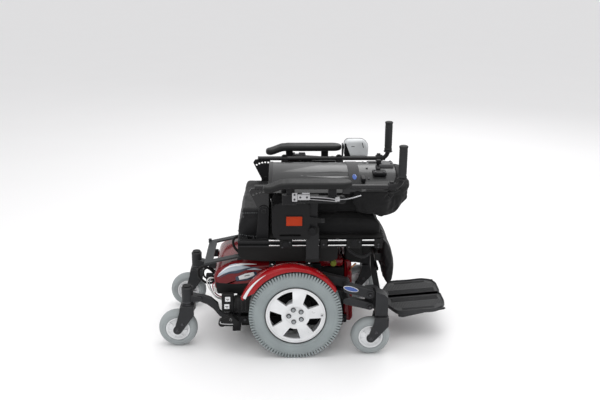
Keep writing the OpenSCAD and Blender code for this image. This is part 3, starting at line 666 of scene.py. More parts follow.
def ring_tree():
    """Blocks round a wheel."""
    tree, gin, gout = new_group(
        "Blocks round a wheel", "GeometryNodeTree",
        [("Geometry", GEOMETRY, None), ("Count", "NodeSocketInt", 90), ("Radius", FLOAT, 0.168),
         ("Block Size", VECTOR, (0.019, 0.007, 0.022)), ("Lean", FLOAT, 0.0), ("Phase", FLOAT, 0.0),
         ("Centre", VECTOR, None), ("Finish", MATERIAL, None)],
        [("Geometry", GEOMETRY)])
    circle = add(tree, "GeometryNodeMeshCircle",
                 {"Vertices": gin.outputs["Count"], "Radius": gin.outputs["Radius"]})
    index = add(tree, "GeometryNodeInputIndex").outputs[0]
    step = math_node(tree, "DIVIDE", 2 * math.pi, gin.outputs["Count"])
    angle = math_node(tree, "MULTIPLY", index, step)
    euler = add(tree, "ShaderNodeCombineXYZ", {"X": gin.outputs["Lean"], "Z": angle})
    block = add(tree, "GeometryNodeMeshCube", {"Size": gin.outputs["Block Size"]})
    placed = add(tree, "GeometryNodeInstanceOnPoints", {
        "Points": circle.outputs[0], "Instance": block.outputs["Mesh"], "Rotation": euler.outputs[0]})
    spun = add(tree, "ShaderNodeCombineXYZ", {"Z": gin.outputs["Phase"]})
    turned = add(tree, "GeometryNodeTransform", {"Geometry": placed.outputs[0], "Rotation": spun.outputs[0]})
    upright = add(tree, "GeometryNodeTransform", {
        "Geometry": turned.outputs[0], "Rotation": (math.radians(-90), 0.0, 0.0),
        "Translation": gin.outputs["Centre"]})
    return end_tree(tree, gin, gout, upright.outputs[0])


def stitches_tree():
    """Stitches along the host's edges."""
    tree, gin, gout = new_group(
        "Stitches", "GeometryNodeTree",
        [("Geometry", GEOMETRY, None), ("Spacing", FLOAT, 0.006), ("Thread", FLOAT, 0.0006),
         ("Length", FLOAT, 0.004), ("Finish", MATERIAL, None)],
        [("Geometry", GEOMETRY)])
    curve = add(tree, "GeometryNodeMeshToCurve", {"Mesh": gin.outputs["Geometry"]})
    points = add(tree, "GeometryNodeResampleCurve",
                 {"Curve": curve.outputs[0], "Length": gin.outputs["Spacing"]},
                 mode="LENGTH")
    tangent = add(tree, "GeometryNodeInputTangent").outputs[0]
    turn = add(tree, "FunctionNodeAlignRotationToVector", {"Vector": tangent}, axis="Z")
    thread = add(tree, "GeometryNodeMeshCylinder", {
        "Vertices": 6, "Radius": gin.outputs["Thread"], "Depth": gin.outputs["Length"]})
    placed = add(tree, "GeometryNodeInstanceOnPoints", {
        "Points": points.outputs[0], "Instance": thread.outputs["Mesh"], "Rotation": turn.outputs[0]})
    return end_tree(tree, gin, gout, placed.outputs[0])


TREES = {}


def grown(name, tree_name, host, values, finish_name):
    """Runs a geometry node tree on a host mesh and keeps the result as a plain mesh."""
    builders = {"studs": studs_tree, "ring": ring_tree, "stitches": stitches_tree}
    if tree_name not in TREES:
        TREES[tree_name] = builders[tree_name]()
    tree = TREES[tree_name]
    piece = bpy.data.objects.new(name, host)
    bpy.context.scene.collection.objects.link(piece)
    modifier = piece.modifiers.new("Grow", "NODES")
    modifier.node_group = tree
    values = dict(values, Finish=finish(finish_name))
    for item in tree.interface.items_tree:
        if item.item_type == "SOCKET" and item.in_out == "INPUT" and item.name in values:
            modifier[item.identifier] = values[item.name]
    settle(piece)
    if not piece.data.polygons:
        raise RuntimeError(f"{name}: the tree {tree_name} made nothing")
    return piece


def studs(name, places, radius, height, finish_name, sides=6, top=0.8):
    """Bolts, rivets or grip dots at places given as (point in metres, direction)."""
    host = bpy.data.meshes.new(name + ".points")
    host.from_pydata([tuple(point) for point, _ in places], [], [])
    facing = host.attributes.new("facing", "FLOAT_VECTOR", "POINT")
    for k, (_, direction) in enumerate(places):
        facing.data[k].vector = direction
    return grown(name, "studs", host, {
        "Radius": radius * MM, "Top Radius": radius * top * MM, "Height": height * MM, "Sides": sides},
        finish_name)


def stitches(name, paths, finish_name, spacing=7.0, thread=0.6, length=4.5):
    """Rows of stitches along paths given in metres."""
    host = bpy.data.meshes.new(name + ".lines")
    points, edges = [], []
    for path in paths:
        start = len(points)
        points += [tuple(p) for p in path]
        edges += [(start + k, start + k + 1) for k in range(len(path) - 1)]
    host.from_pydata(points, edges, [])
    return grown(name, "stitches", host, {
        "Spacing": spacing * MM, "Thread": thread * MM, "Length": length * MM}, finish_name)


def joined(name, pieces):
    """Several plain pieces as one."""
    bm = bmesh.new()
    materials = []
    for piece in pieces:
        start = len(bm.faces)
        bm.from_mesh(piece.data)
        bm.faces.ensure_lookup_table()
        base = len(materials)
        materials += list(piece.data.materials)
        for face in bm.faces[start:]:
            face.material_index += base
    mesh = bpy.data.meshes.new(name)
    bm.to_mesh(mesh)
    bm.free()
    for material in materials:
        mesh.materials.append(material)
    result = bpy.data.objects.new(name, mesh)
    bpy.context.scene.collection.objects.link(result)
    for piece in pieces:
        bpy.data.objects.remove(piece)
    return result


# ---- Soft pieces ----

def puffed(piece, voxel, shrink, cap, pressure=4.0):
    """Swells a closed piece like a stuffed cover, with no point moving further than cap."""
    for vertex, normal in zip(piece.data.vertices, [v.normal.copy() for v in piece.data.vertices]):
        vertex.co -= normal * shrink * MM
    remesh = piece.modifiers.new("Even", "REMESH")
    remesh.mode = "VOXEL"
    remesh.voxel_size = voxel * MM
    remesh.use_smooth_shade = True
    settle(piece)
    rest = [v.co.copy() for v in piece.data.vertices]
    cloth = piece.modifiers.new("Cover", "CLOTH")
    cloth.settings.quality = 5
    cloth.settings.mass = 0.3
    cloth.settings.tension_stiffness = 12
    cloth.settings.compression_stiffness = 12
    cloth.settings.shear_stiffness = 6
    cloth.settings.bending_stiffness = 0.4
    cloth.settings.use_pressure = True
    cloth.settings.uniform_pressure_force = pressure
    cloth.settings.effector_weights.gravity = 0
    cloth.point_cache.frame_start = 1
    cloth.point_cache.frame_end = 20
    scene = bpy.context.scene
    for number in range(1, 21):
        scene.frame_set(number)
    graph = bpy.context.evaluated_depsgraph_get()
    swollen = [v.co.copy() for v in piece.evaluated_get(graph).data.vertices]
    piece.modifiers.clear()
    scene.frame_set(1)
    for vertex, start, end in zip(piece.data.vertices, rest, swollen):
        move = end - start
        if move.length > cap * MM:
            move = move.normalized() * cap * MM
        vertex.co = start + move
    return piece


def displaced(piece, shift):
    """Moves each point of a piece along its normal by shift(x, y, z) in millimetres from the axle."""
    mesh = piece.data
    normals = [v.normal.copy() for v in mesh.vertices]
    for vertex, normal in zip(mesh.vertices, normals):
        x = (vertex.co.x - AXLE_X) / MM
        vertex.co += normal * shift(x, vertex.co.y / MM, vertex.co.z / MM) * MM
    mesh.update()
    return piece


def folds(x, y, z, stretch, depth, seed):
    """Long soft folds: a height in millimetres at a point."""
    place = Vector((x * stretch[0], y * stretch[1], z * stretch[2])) + Vector((seed, seed * 0.7, seed * 1.3))
    bend = noise.noise_vector(place * 0.6) * 0.9
    value = noise.noise(place + bend)
    ridge = 1 - min(1.0, abs(value) * 3.2)
    return depth * (value * 1.4 - ridge * ridge * 0.9)


def soft_copy(node, name, finish_name, keep=None):
    """A copy of a node's mesh, or of the part of it that keep allows, to be puffed."""
    bm = merged(node)
    if keep:
        gone = [v for v in bm.verts if not keep(v.co)]
        bmesh.ops.delete(bm, geom=gone, context="VERTS")
    return make(name, bm, finish_name, outward=False)


def span(side_sign, near, far):
    """Two distances from the middle, in rising order, on one side of the chair."""
    return (near, far) if side_sign > 0 else (-far, -near)


def side_slab(bm, side_sign, outline, near, far, radius, steps=3):
    """A rolled slab on one side of the chair."""
    w0, w1 = span(side_sign, near, far)
    pillow(bm, outline, w0, w1, radius, across, steps)


# ---- What a user would change ----

class ChairColours(bpy.types.PropertyGroup):
    fender: bpy.props.FloatVectorProperty(name="Fender", description="Paint of the fenders", subtype="COLOR",
                                          size=3, min=0, max=1, default=(0.31, 0.003, 0.006))
    panels: bpy.props.FloatVectorProperty(name="Panels", description="Paint of the shroud and front panel",
                                          subtype="COLOR", size=3, min=0, max=1, default=(0.15, 0.002, 0.005))
    tyres: bpy.props.FloatVectorProperty(name="Drive tyres", description="Rubber of the drive tyres",
                                         subtype="COLOR", size=3, min=0, max=1, default=(0.270, 0.305, 0.310))
    fabric: bpy.props.FloatVectorProperty(name="Fabric", description="Cover of the seat and back cushions",
                                          subtype="COLOR", size=3, min=0, max=1,
                                          default=(0.008, 0.008, 0.0084))
    reflector: bpy.props.FloatVectorProperty(name="Reflectors", description="Lens of the side reflectors",
                                             subtype="COLOR", size=3, min=0, max=1,
                                             default=(0.40, 0.030, 0.002))


class ChairSizes(bpy.types.PropertyGroup):
    lugs: bpy.props.IntProperty(name="Lugs", description="Number of shoulder lugs round a drive tyre",
                                default=92, min=40, max=120)
    lug_width: bpy.props.FloatProperty(name="Lug width", description="Width of a shoulder lug round the tyre",
                                       default=0.0062, min=0.004, max=0.010, unit="LENGTH")
    crease: bpy.props.FloatProperty(name="Crease depth", description="Depth of the folds in the back cushion",
                                    default=0.0055, min=0.0, max=0.008, unit="LENGTH")
    swell: bpy.props.FloatProperty(name="Cushion swell", description="How far a cushion's cover may swell",
                                   default=0.016, min=0.005, max=0.022, unit="LENGTH")
    grip_pitch: bpy.props.FloatProperty(name="Grip pitch",
                                        description="Distance between grip dots on a footplate",
                                        default=0.0075, min=0.005, max=0.015, unit="LENGTH")


# ---- Operators ----

class BuildStage(bpy.types.Operator):
    """Lay the floor, the lights and the camera"""
    bl_idname = "wheelchair.stage"
    bl_label = "Stage"

    def execute(self, context):
        scene = context.scene
        bm = bmesh.new()
        bmesh.ops.create_grid(bm, x_segments=8, y_segments=8, size=60.0)
        floor_mesh = bpy.data.meshes.new("floor")
        bm.to_mesh(floor_mesh)
        bm.free()
        floor = bpy.data.objects.new("floor", floor_mesh)
        scene.collection.objects.link(floor)
        paper = bpy.data.materials.new("studio_paper")
        paper.use_nodes = True
        shader = paper.node_tree.nodes["Principled BSDF"]
        vector = add(paper.node_tree, "ShaderNodeTexCoord").outputs["Object"]
        mottle = add(paper.node_tree, "ShaderNodeTexNoise", {"Vector": vector, "Scale": 2.0, "Detail": 3.0})
        shade = mix_colour(paper.node_tree, mottle.outputs["Fac"], (0.93, 0.925, 0.925, 1),
                           (0.95, 0.945, 0.945, 1))
        paper.node_tree.links.new(shade, shader.inputs["Base Color"])
        shader.inputs["Roughness"].default_value = 0.62
        floor_mesh.materials.append(paper)

        world = bpy.data.worlds.new("studio")
        world.use_nodes = True
        backdrop = world.node_tree.nodes["Background"]
        backdrop.inputs["Color"].default_value = (0.93, 0.93, 0.94, 1)
        backdrop.inputs["Strength"].default_value = 0.84
        scene.world = world
        scene.view_settings.view_transform = "Standard"
        self.lamp(scene, "overhead_bank", (0.1, -0.2, 3.4), (0, 0, 0.4), 3.2, 50)
        self.lamp(scene, "front_bank", (-1.6, -3.4, 2.2), (0, 0, 0.35), 1.8, 16)
        self.lamp(scene, "rear_bank", (1.2, 3.2, 2.6), (0, 0, 0.3), 2.4, 28)
        self.camera(scene)
        return {"FINISHED"}

    def lamp(self, scene, name, place, target, size, power):
        data = bpy.data.lights.new(name, "AREA")
        data.shape = "RECTANGLE"
        data.size = size
        data.size_y = size * 0.7
        data.energy = power
        lamp = bpy.data.objects.new(name, data)
        lamp.location = place
        heading = Vector(target) - Vector(place)
        lamp.rotation_euler = heading.to_track_quat("-Z", "Y").to_euler()
        scene.collection.objects.link(lamp)

    def camera(self, scene):
        yaw, pitch, roll = math.radians(1.294), math.radians(18.187), 0.004
        ahead = Vector((math.sin(yaw) * math.cos(pitch), math.cos(yaw) * math.cos(pitch), -math.sin(pitch)))
        right = Vector((math.cos(yaw), -math.sin(yaw), 0))
        up = right.cross(ahead)
        turned_right = right * math.cos(roll) + up * math.sin(roll)
        turned_up = up * math.cos(roll) - right * math.sin(roll)
        pose = Matrix((turned_right, turned_up, -ahead)).transposed().to_4x4()
        pose.translation = Vector((-0.08266, -2.9475, 1.5135))
        data = bpy.data.cameras.new("camera")
        data.lens = 46.32
        data.sensor_width = 36.0
        data.clip_end = 200
        camera = bpy.data.objects.new("camera", data)
        camera.matrix_world = pose
        scene.collection.objects.link(camera)
        scene.camera = camera


class BuildDriveWheels(bpy.types.Operator):
    """Build the lugged drive tyres and dress their rims"""
    bl_idname = "wheelchair.drive_wheels"
    bl_label = "Drive wheels"

    def execute(self, context):
        sizes = context.scene.chair_sizes
        half = [(114, 28), (118, 31.5), (124, 34.5), (127, 36.2), (129, 35.4), (136, 37.4), (148, 38),
                (151, 37.2), (153, 37.6), (161, 36.6), (167, 32), (171.5, 24), (173.6, 12)]
        profile = [(r, -w) for r, w in half] + [(174, 0)] + [(r, w) for r, w in half[::-1]]
        for side, sign in SIDES:
            body = "drive_wheel_" + side
            centre = at(0, sign * DRIVE_Y, AXLE_Z)
            bm = bmesh.new()
            lathe(bm, profile, centre, segments=180)
            carcass = make(f"tyre_carcass_{side}", bm, "tyre_grey")
            rows = [carcass]
            for k, (offset, count, radius, size, lean, phase) in enumerate((
                    (27, sizes.lugs, 0.1685, (0.019, sizes.lug_width, 0.0215), 0.20, 0.0),
                    (-27, sizes.lugs, 0.1685, (0.019, sizes.lug_width, 0.0215), -0.20, 0.034),
                    (9, sizes.lugs // 2, 0.1735, (0.008, 0.013, 0.012), 0.35, 0.01),
                    (-9, sizes.lugs // 2, 0.1735, (0.008, 0.013, 0.012), -0.35, 0.05))):
                rows.append(grown(f"lug_row_{k}_{side}", "ring", bpy.data.meshes.new("wheel_centre"), {
                    "Count": count, "Radius": radius, "Block Size": size, "Lean": lean, "Phase": phase,
                    "Centre": at(0, sign * DRIVE_Y + offset, AXLE_Z)}, "tyre_grey"))
            fit(joined(f"tyre_{side}", rows), body, "tyre_grey", "drive_tyre_" + side)
            dress("drive_rim_" + side, 1.4, 3)
            bm = bmesh.new()
            lathe(bm, [(114.6, 32.2), (117.2, 32.6), (117.2, 34.4), (114.6, 34.2)], centre, segments=120,
                  flip=sign)
            fit(make(f"rim_seal_{side}", bm, "cable_black"), body, "tyre_grey")
            bm = bmesh.new()
            tube(bm, [at(101, sign * (DRIVE_Y + 22), AXLE_Z), at(101, sign * (DRIVE_Y + 30), AXLE_Z),
                      at(100, sign * (DRIVE_Y + 34), AXLE_Z)], lambda t: 3.2 - t, 12)
            fit(make(f"valve_{side}", bm, "bolt_dark"), body)
            places = [(at(26 * math.cos(a), sign * 296.6, AXLE_Z + 26 * math.sin(a)), (0, sign, 0))
                      for a in (math.radians(110 + 72 * k) for k in range(5))]
            fit(studs(f"wheel_bolts_{side}", places, 7.0, 3.6, "lead_grey", 6, 0.85), body, "rim_silver")
            places = [(at(26 * math.cos(a), sign * 296.2, AXLE_Z + 26 * math.sin(a)), (0, sign, 0))
                      for a in (math.radians(110 + 72 * k) for k in range(5))]
            fit(studs(f"bolt_seats_{side}", places, 9.6, 1.6, "bolt_dark", 24, 0.95), body, "rim_silver")
        return {"FINISHED"}


class BuildCasters(bpy.types.Operator):
    """Build the caster tyres and hubs and dress their forks and heads"""
    bl_idname = "wheelchair.casters"
    bl_label = "Casters"

    tyre_half = [(47, 19), (49.5, 22.6), (55, 24), (58.4, 24), (59.2, 23.1), (60, 24), (63, 23.4), (68, 20),
                 (72, 15.5), (75, 9), (76, 4)]
    hub = [(6.5, -23), (17, -23.5), (19.5, -21), (21, -16), (34, -12), (38, -13), (41, -19.5), (44, -21.5),
           (46.9, -20), (46.9, 20), (44, 21.5), (41, 19.5), (38, 13), (34, 12), (21, 16), (19.5, 21),
           (17, 23.5), (6.5, 23)]

    def execute(self, context):
        tyre = [(r, -w) for r, w in self.tyre_half] + [(r, w) for r, w in self.tyre_half[::-1]]
        for end, (x, y), top in (("front", FRONT_SWIVEL, 162), ("rear", REAR_SWIVEL, 176)):
            for side, sign in SIDES:
                wheel = f"{end}_wheel_{side}"
                fork = f"{end}_fork_{side}_body"
                centre = at(x - TRAIL, sign * y, CASTER_Z)
                bm = bmesh.new()
                lathe(bm, tyre, centre, segments=112)
                fit(make(f"{end}_caster_tyre_{side}", bm, "caster_grey"), wheel, "caster_grey",
                    f"{end}_tyre_{side}")
                bm = bmesh.new()
                lathe(bm, self.hub, centre, segments=96)
                dish = make(f"{end}_dish_{side}", bm, "hub_pale")
                webs = [grown(f"{end}_webs_{k}_{side}", "ring", bpy.data.meshes.new("caster_centre"), {
                    "Count": 7, "Radius": 0.0285, "Block Size": (0.018, 0.0032, 0.008), "Lean": 0.0,
                    "Phase": 0.2,
                    "Centre": at(x - TRAIL, sign * y + k * 15, CASTER_Z)}, "hub_pale") for k in (-1, 1)]
                fit(joined(f"{end}_caster_hub_{side}", [dish] + webs), wheel, "hub_pale", f"{end}_hub_{side}")
                dress(f"{end}_fork_{side}", 1.6, 2)
                bm = bmesh.new()
                lathe(bm, [(10.5, top + 4.2), (22, top + 4.2), (23.5, top + 2.6), (23.5, top + 1),
                           (22, top + 0.3), (10.5, top + 0.3)], at(x, sign * y, 0), "Z", 48)
                fit(make(f"{end}_bearing_{side}", bm, "bolt_dark"), fork)
                places = [(at(x - TRAIL, sign * y + k * 37.6, CASTER_Z), (0, k, 0)) for k in (-1, 1)]
                places += [(at(x - TRAIL + 20, sign * y + k * 34.9, CASTER_Z + 26), (0, k, 0))
                           for k in (-1, 1)]
                fit(studs(f"{end}_fork_nuts_{side}", places, 7.0, 2.4, "bolt_dark", 6), fork, "arm_black")
        for side, sign in SIDES:
            for node in ("caster_head_", "upper_link_", "lower_link_"):
                dress(node + side, 3.0 if node == "caster_head_" else 3.5, 3)
            dress("rear_arm_" + side, 2.0, 2)
            self.trim(side, sign)
        return {"FINISHED"}

    def trim(self, side, sign):
        """Pivot screws, the plain badge and the swivel caps."""
        places = [(at(285, sign * 271.8, z), (0, sign, 0)) for z in (252, 201)]
        fit(studs(f"head_screws_{side}", places, 8.5, 4.0, "stick_black", 24, 0.9), "head_" + side,
            "arm_black")
        places = [(at(285, sign * 275.6, z), (0, sign, 0)) for z in (252, 201)]
        fit(studs(f"head_screw_sockets_{side}", places, 4.6, 0.7, "bolt_dark", 6, 1.0), "head_" + side)
        bm = bmesh.new()
        turn = math.radians(-15)
        outline = [(211 + u * math.cos(turn) - v * math.sin(turn),
                    275 + u * math.sin(turn) + v * math.cos(turn))
                   for u, v in oval(0, 0, 30, 10.5)]
        side_slab(bm, sign, outline, 265.4, 267.0, 0.7)
        fit(make(f"badge_rim_{side}", bm, "bright_steel"), "upper_arm_" + side)
        bm = bmesh.new()
        side_slab(bm, sign, inset_loop(outline, 2.0), 266.0, 268.4, 1.6)
        fit(make(f"badge_{side}", bm, "badge_blue"), "upper_arm_" + side)
        bm = bmesh.new()
        lathe(bm, [(0, 251.2), (15, 251.2), (17.5, 253), (17, 255.5), (0, 256.5)],
              at(REAR_SWIVEL[0], sign * REAR_SWIVEL[1], 0), "Z", 48)
        fit(make(f"rear_swivel_cap_{side}", bm, "stick_black"), "rear_beam_" + side, "arm_black")
        bm = bmesh.new()
        lathe(bm, [(21.4, 186), (23.2, 187), (23.2, 191), (21.4, 192)],
              at(REAR_SWIVEL[0], sign * REAR_SWIVEL[1], 0), "Z", 64)
        fit(make(f"rear_collar_{side}", bm, "bolt_dark"), "rear_beam_" + side, "arm_black")


class BuildChassis(bpy.types.Operator):
    """Dress the frame, the batteries, the motors and their levers"""
    bl_idname = "wheelchair.chassis"
    bl_label = "Chassis and motors"

    def execute(self, context):
        for node, width in (("chassis_frame", 1.2), ("battery_box", 1.5), ("batteries", 2.0),
                            ("seat_stand", 2.0), ("tilt_actuator", 1.0), ("bumper_bar", 1.6)):
            dress(node, width, 2)
        for side, sign in SIDES:
            dress("motor_" + side, 2.2, 2)
            dress("release_lever_" + side, 2.4, 3)
            bm = bmesh.new()
            for k in range(8):
                lathe(bm, [(33, -116 - 15 * k), (35.6, -116.6 - 15 * k), (35.6, -119.6 - 15 * k),
                           (33, -120.2 - 15 * k)],
                      at(0, sign * 187, AXLE_Z), "X", 48)
            fit(make(f"motor_fins_{side}", bm, "motor_black"), "base", "motor_black")
            bm = bmesh.new()
            side_slab(bm, sign, rounded(box2d(-286, 158, -238, 234), 8), 196, 222, 5)
            fit(make(f"brake_cover_{side}", bm, "motor_black"), "base", "motor_black")
            for k, (x, z) in enumerate(((-262, 214), (-266, 183))):
                bm = bmesh.new()
                side_slab(bm, sign, rounded(box2d(x - 10, z - 10, x + 10, z + 10), 2), 221.6, 222.8, 0.4, 2)
                fit(make(f"plate_{k}_{side}", bm, "pale_mark"), "base")
                bm = bmesh.new()
                side_slab(bm, sign, box2d(x - 6, z - 1, x + 6, z + 2), 222.6, 223.1, 0.1, 1)
                side_slab(bm, sign, box2d(x - 3, z - 6, x + 3, z - 4), 222.6, 223.1, 0.1, 1)
                fit(make(f"plate_bars_{k}_{side}", bm, "bolt_dark"), "base")
            # painted highlight: a pale line down the rear end of the release lever and forward along its
            # outer face
            bm = bmesh.new()
            tube(bm, smooth_path([at(-290, sign * 249.4, 132), at(-289, sign * 249.6, 124),
                                  at(-262, sign * 249.6, 121), at(-242, sign * 249.6, 121)]), 1.1, 8)
            fit(make(f"lever_painted_highlight_{side}", bm, "pale_mark"), "lever_" + side)
            places = [(at(-250, sign * 249.2, 140), (0, sign, 0))]
            fit(studs(f"lever_screw_{side}", places, 6, 2.6, "bright_steel", 6), "base", "motor_black")
            places = [(at(x, sign * 166.2, z), (0, sign, 0)) for x, z in
                      ((-50, 98), (-10, 98), (150, 98), (190, 98), (-200, 98), (88, 150), (92, 236),
                       (84, 300))]
            fit(studs(f"frame_bolts_{side}", places, 6.5, 4.0, "bolt_dark", 6), "base", "chassis_black")
        return {"FINISHED"}


def shroud_skin(outline, radius, half, lift):
    """A function that lays side-view points on the shroud's rolled side."""
    count = len(outline)

    def surface(x, z):
        here = Vector((x, z))
        reach = radius
        for k in range(count):
            a = Vector(outline[k])
            b = Vector(outline[(k + 1) % count])
            t = max(0.0, min(1.0, (here - a).dot(b - a) / (b - a).length_squared))
            reach = min(reach, (a + (b - a) * t - here).length)
        drop = radius - math.sqrt(max(0.0, radius ** 2 - (radius - reach) ** 2))
        return half - drop + lift

    return surface


class BuildPanels(bpy.types.Operator):
    """Build the glossy shroud, fenders and front panel with their plain graphics, painted shade on the
    shroud's lower sides and a painted highlight on each fender
    """
    bl_idname = "wheelchair.panels"
    bl_label = "Body panels"

    side_view = [(-318, 222), (-80, 222), (-80, 348), (-240, 334), (-290, 316), (-312, 300), (-320, 282)]
    roll = 26

    def execute(self, context):
        outline = rounded(self.side_view, 22, 6)
        bm = bmesh.new()
        pillow(bm, outline, -172, 172, self.roll, across, 8)
        bmesh.ops.recalc_face_normals(bm, faces=bm.faces)
        inner = [f for f in bm.faces if f.calc_center_median().z < 0.2235
                 or (f.calc_center_median().x > at(-80.6, 0, 0).x)]
        bmesh.ops.delete(bm, geom=inner, context="FACES")
        shell = make("shroud_shell", bm, "red_gloss", outward=False)
        fit(thicken(shell, 3.0), "base", "red_gloss", "shroud")
        bm = bmesh.new()
        pillow(bm, rounded(box2d(-81, -150, 190, 150), 14), 318, 350, 9, upward, 5)
        fit(make("top_cover", bm, "red_gloss"), "base", "red_gloss")
        bm = bmesh.new()
        front = rounded([(194, 84), (222, 80), (231, 96), (231, 150), (222, 330), (212, 344), (194, 344)], 6)
        pillow(bm, front, -150, 150, 9, across, 5)
        fit(make("front_cover", bm, "red_gloss"), "base", "red_gloss", "front_panel")
        bm = bmesh.new()
        for z in (104, 118, 132):
            pillow(bm, rounded(box2d(-70, z, 70, z + 6), 3), 229.6, 231.6, 0.6, along, 2)
        fit(make("front_vents", bm, "stick_black"), "base")
        for side, sign in SIDES:
            # painted shade: a dark band over the lower part of each side of the shroud, where the shroud lies
            # in shade under the seat
            bm = bmesh.new()
            lower_band = rounded([(-306, 215), (-84, 215), (-84, 276), (-150, 262), (-236, 256), (-312, 262)], 6)
            side_slab(bm, sign, lower_band, 160, 173.2, 2, 3)
            fit(make(f"shroud_painted_shade_{side}", bm, "tray_black"), "base", "tray_black")
        self.graphics(outline)
        fenders = [self.fender(side, sign) for side, sign in SIDES]
        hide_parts("fenders")
        return {"FINISHED"}

    def graphics(self, outline):
        """Plain blades and a plain label on both sides of the shroud."""
        blades = (
            ("blade_silver", "silver_blade",
             [(-304, 286), (-276, 308), (-236, 322), (-190, 322), (-128, 316)],
             (3, 16, 26, 14, 1), 0.35),
            ("blade_night", "night_blade", [(-296, 282), (-262, 302), (-224, 308), (-180, 322), (-140, 326)],
             (1, 7, 12, 6, 1), 0.65),
            ("blade_pale", "pale_mark", [(-300, 296), (-262, 322), (-214, 333), (-150, 336)],
             (1, 4, 5, 1), 0.65),
            ("label_rim", "night_blade", [(-232, 276), (-192, 286), (-150, 300)], (18, 31, 18), 0.75),
            ("label", "pale_mark", [(-220, 281), (-190, 290), (-160, 300)], (14, 22, 14), 1.05),
            ("label_bar", "bolt_dark", [(-198, 290), (-178, 294)], (3, 4), 1.35),
        )
        for side, sign in SIDES:
            for name, look, path, widths, lift in blades:
                depth = shroud_skin(outline, self.roll, 172, lift)
                bm = bmesh.new()
                ribbon(bm, path, widths, lambda x, z: at(x, sign * depth(x, z), z), 6)
                piece = make(f"{name}_{side}", bm, look, outward=False)
                self.face_out(piece, sign)
                fit(thicken(piece, 0.25), "base")

    def face_out(self, piece, sign):
        """Turns a blade's faces to the outside of the chair."""
        lean = sum(f.normal.y * f.area for f in piece.data.polygons)
        if lean * sign < 0:
            bm = bmesh.new()
            bm.from_mesh(piece.data)
            bmesh.ops.reverse_faces(bm, faces=bm.faces)
            bm.to_mesh(piece.data)
            bm.free()

    def fender(self, side, sign):
        """An arc over the tyre whose outer lip deepens to the rear."""
        cx, cz, radius = FENDER
        loops = []
        steps = 72
        for k in range(steps + 1):
            a = math.radians(31.5 + (158.5 - 31.5) * k / steps)
            direction = Vector((math.cos(a), math.sin(a)))
            centre = Vector((0 - cx, AXLE_Z - cz))
            along_ray = direction.dot(centre)
            reach = along_ray + math.sqrt(max(0.0, along_ray ** 2 - centre.length_squared + 184.5 ** 2))
            taper = min(1.0, (steps - k) / 8, k / 4 + 0.3)
            lip = radius - 5 - (radius - 5 - min(reach, radius - 7)) * taper
            crown = math.sin(math.pi * k / steps) * 0.6
            section = [(236, radius - 8), (258, radius - 3.2), (278, radius - 0.6 + crown),
                       (293, radius - 1.4),
                       (301, radius - 5.2), (303, radius - 10), (303, min(lip, radius - 10.5)),
                       (300, min(lip, radius - 10.5) - 0.2), (299.6, radius - 10), (297.6, radius - 7.4),
                       (292, radius - 4.8), (278, radius - 3.8), (258, radius - 6.4), (236, radius - 11)]
            loops.append([(w, r, direction) for w, r in section])
        bm = bmesh.new()
        rings = [[bm.verts.new(at(cx + d.x * r, sign * w, cz + d.y * r)) for w, r, d in loop]
                 for loop in loops]
        bridge(bm, rings)
        piece = fit(make(f"fender_{side}", bm, "fender_red", 50), "base", "fender_red")
        # painted highlight: a pale strip on the fender's outer face, just under its top edge, widening
        # towards the rear end
        bm = bmesh.new()
        rows = []
        for k in range(29):
            a = math.radians(156 - 38 * k / 28)
            d = Vector((math.cos(a), math.sin(a)))
            width = 11.5 * (1 - k / 28) ** 0.8 + 0.6
            rows.append([bm.verts.new(at(cx + d.x * r, sign * (303.35 - max(0, r - radius + 9) ** 2 * 0.028),
                                         cz + d.y * r))
                         for r in (radius - 5.5 - width * c / 4 for c in range(5))])
        bridge(bm, rows, closed_ends=False, closed_ring=False)
        blade = make(f"fender_painted_highlight_{side}", bm, "pale_mark", outward=False)
        self.face_out(blade, sign)
        fit(thicken(blade, 0.25), "base")
        bm = bmesh.new()
        side_slab(bm, sign, box2d(-100, 350, -76, 362), 150, 246, 1.5)
        side_slab(bm, sign, box2d(40, 356, 64, 366), 152, 246, 1.5)
        fit(make(f"fender_stays_{side}", bm, "chassis_black"), "base", "chassis_black")
        places = [(at(x, sign * y, z), (0, 0, 1)) for x, y, z in
                  ((-88, 228, 362), (52, 228, 366), (-88, 160, 362), (52, 170, 366))]
        fit(studs(f"stay_bolts_{side}", places, 5, 3, "bright_steel", 6), "base", "chassis_black")
        return piece


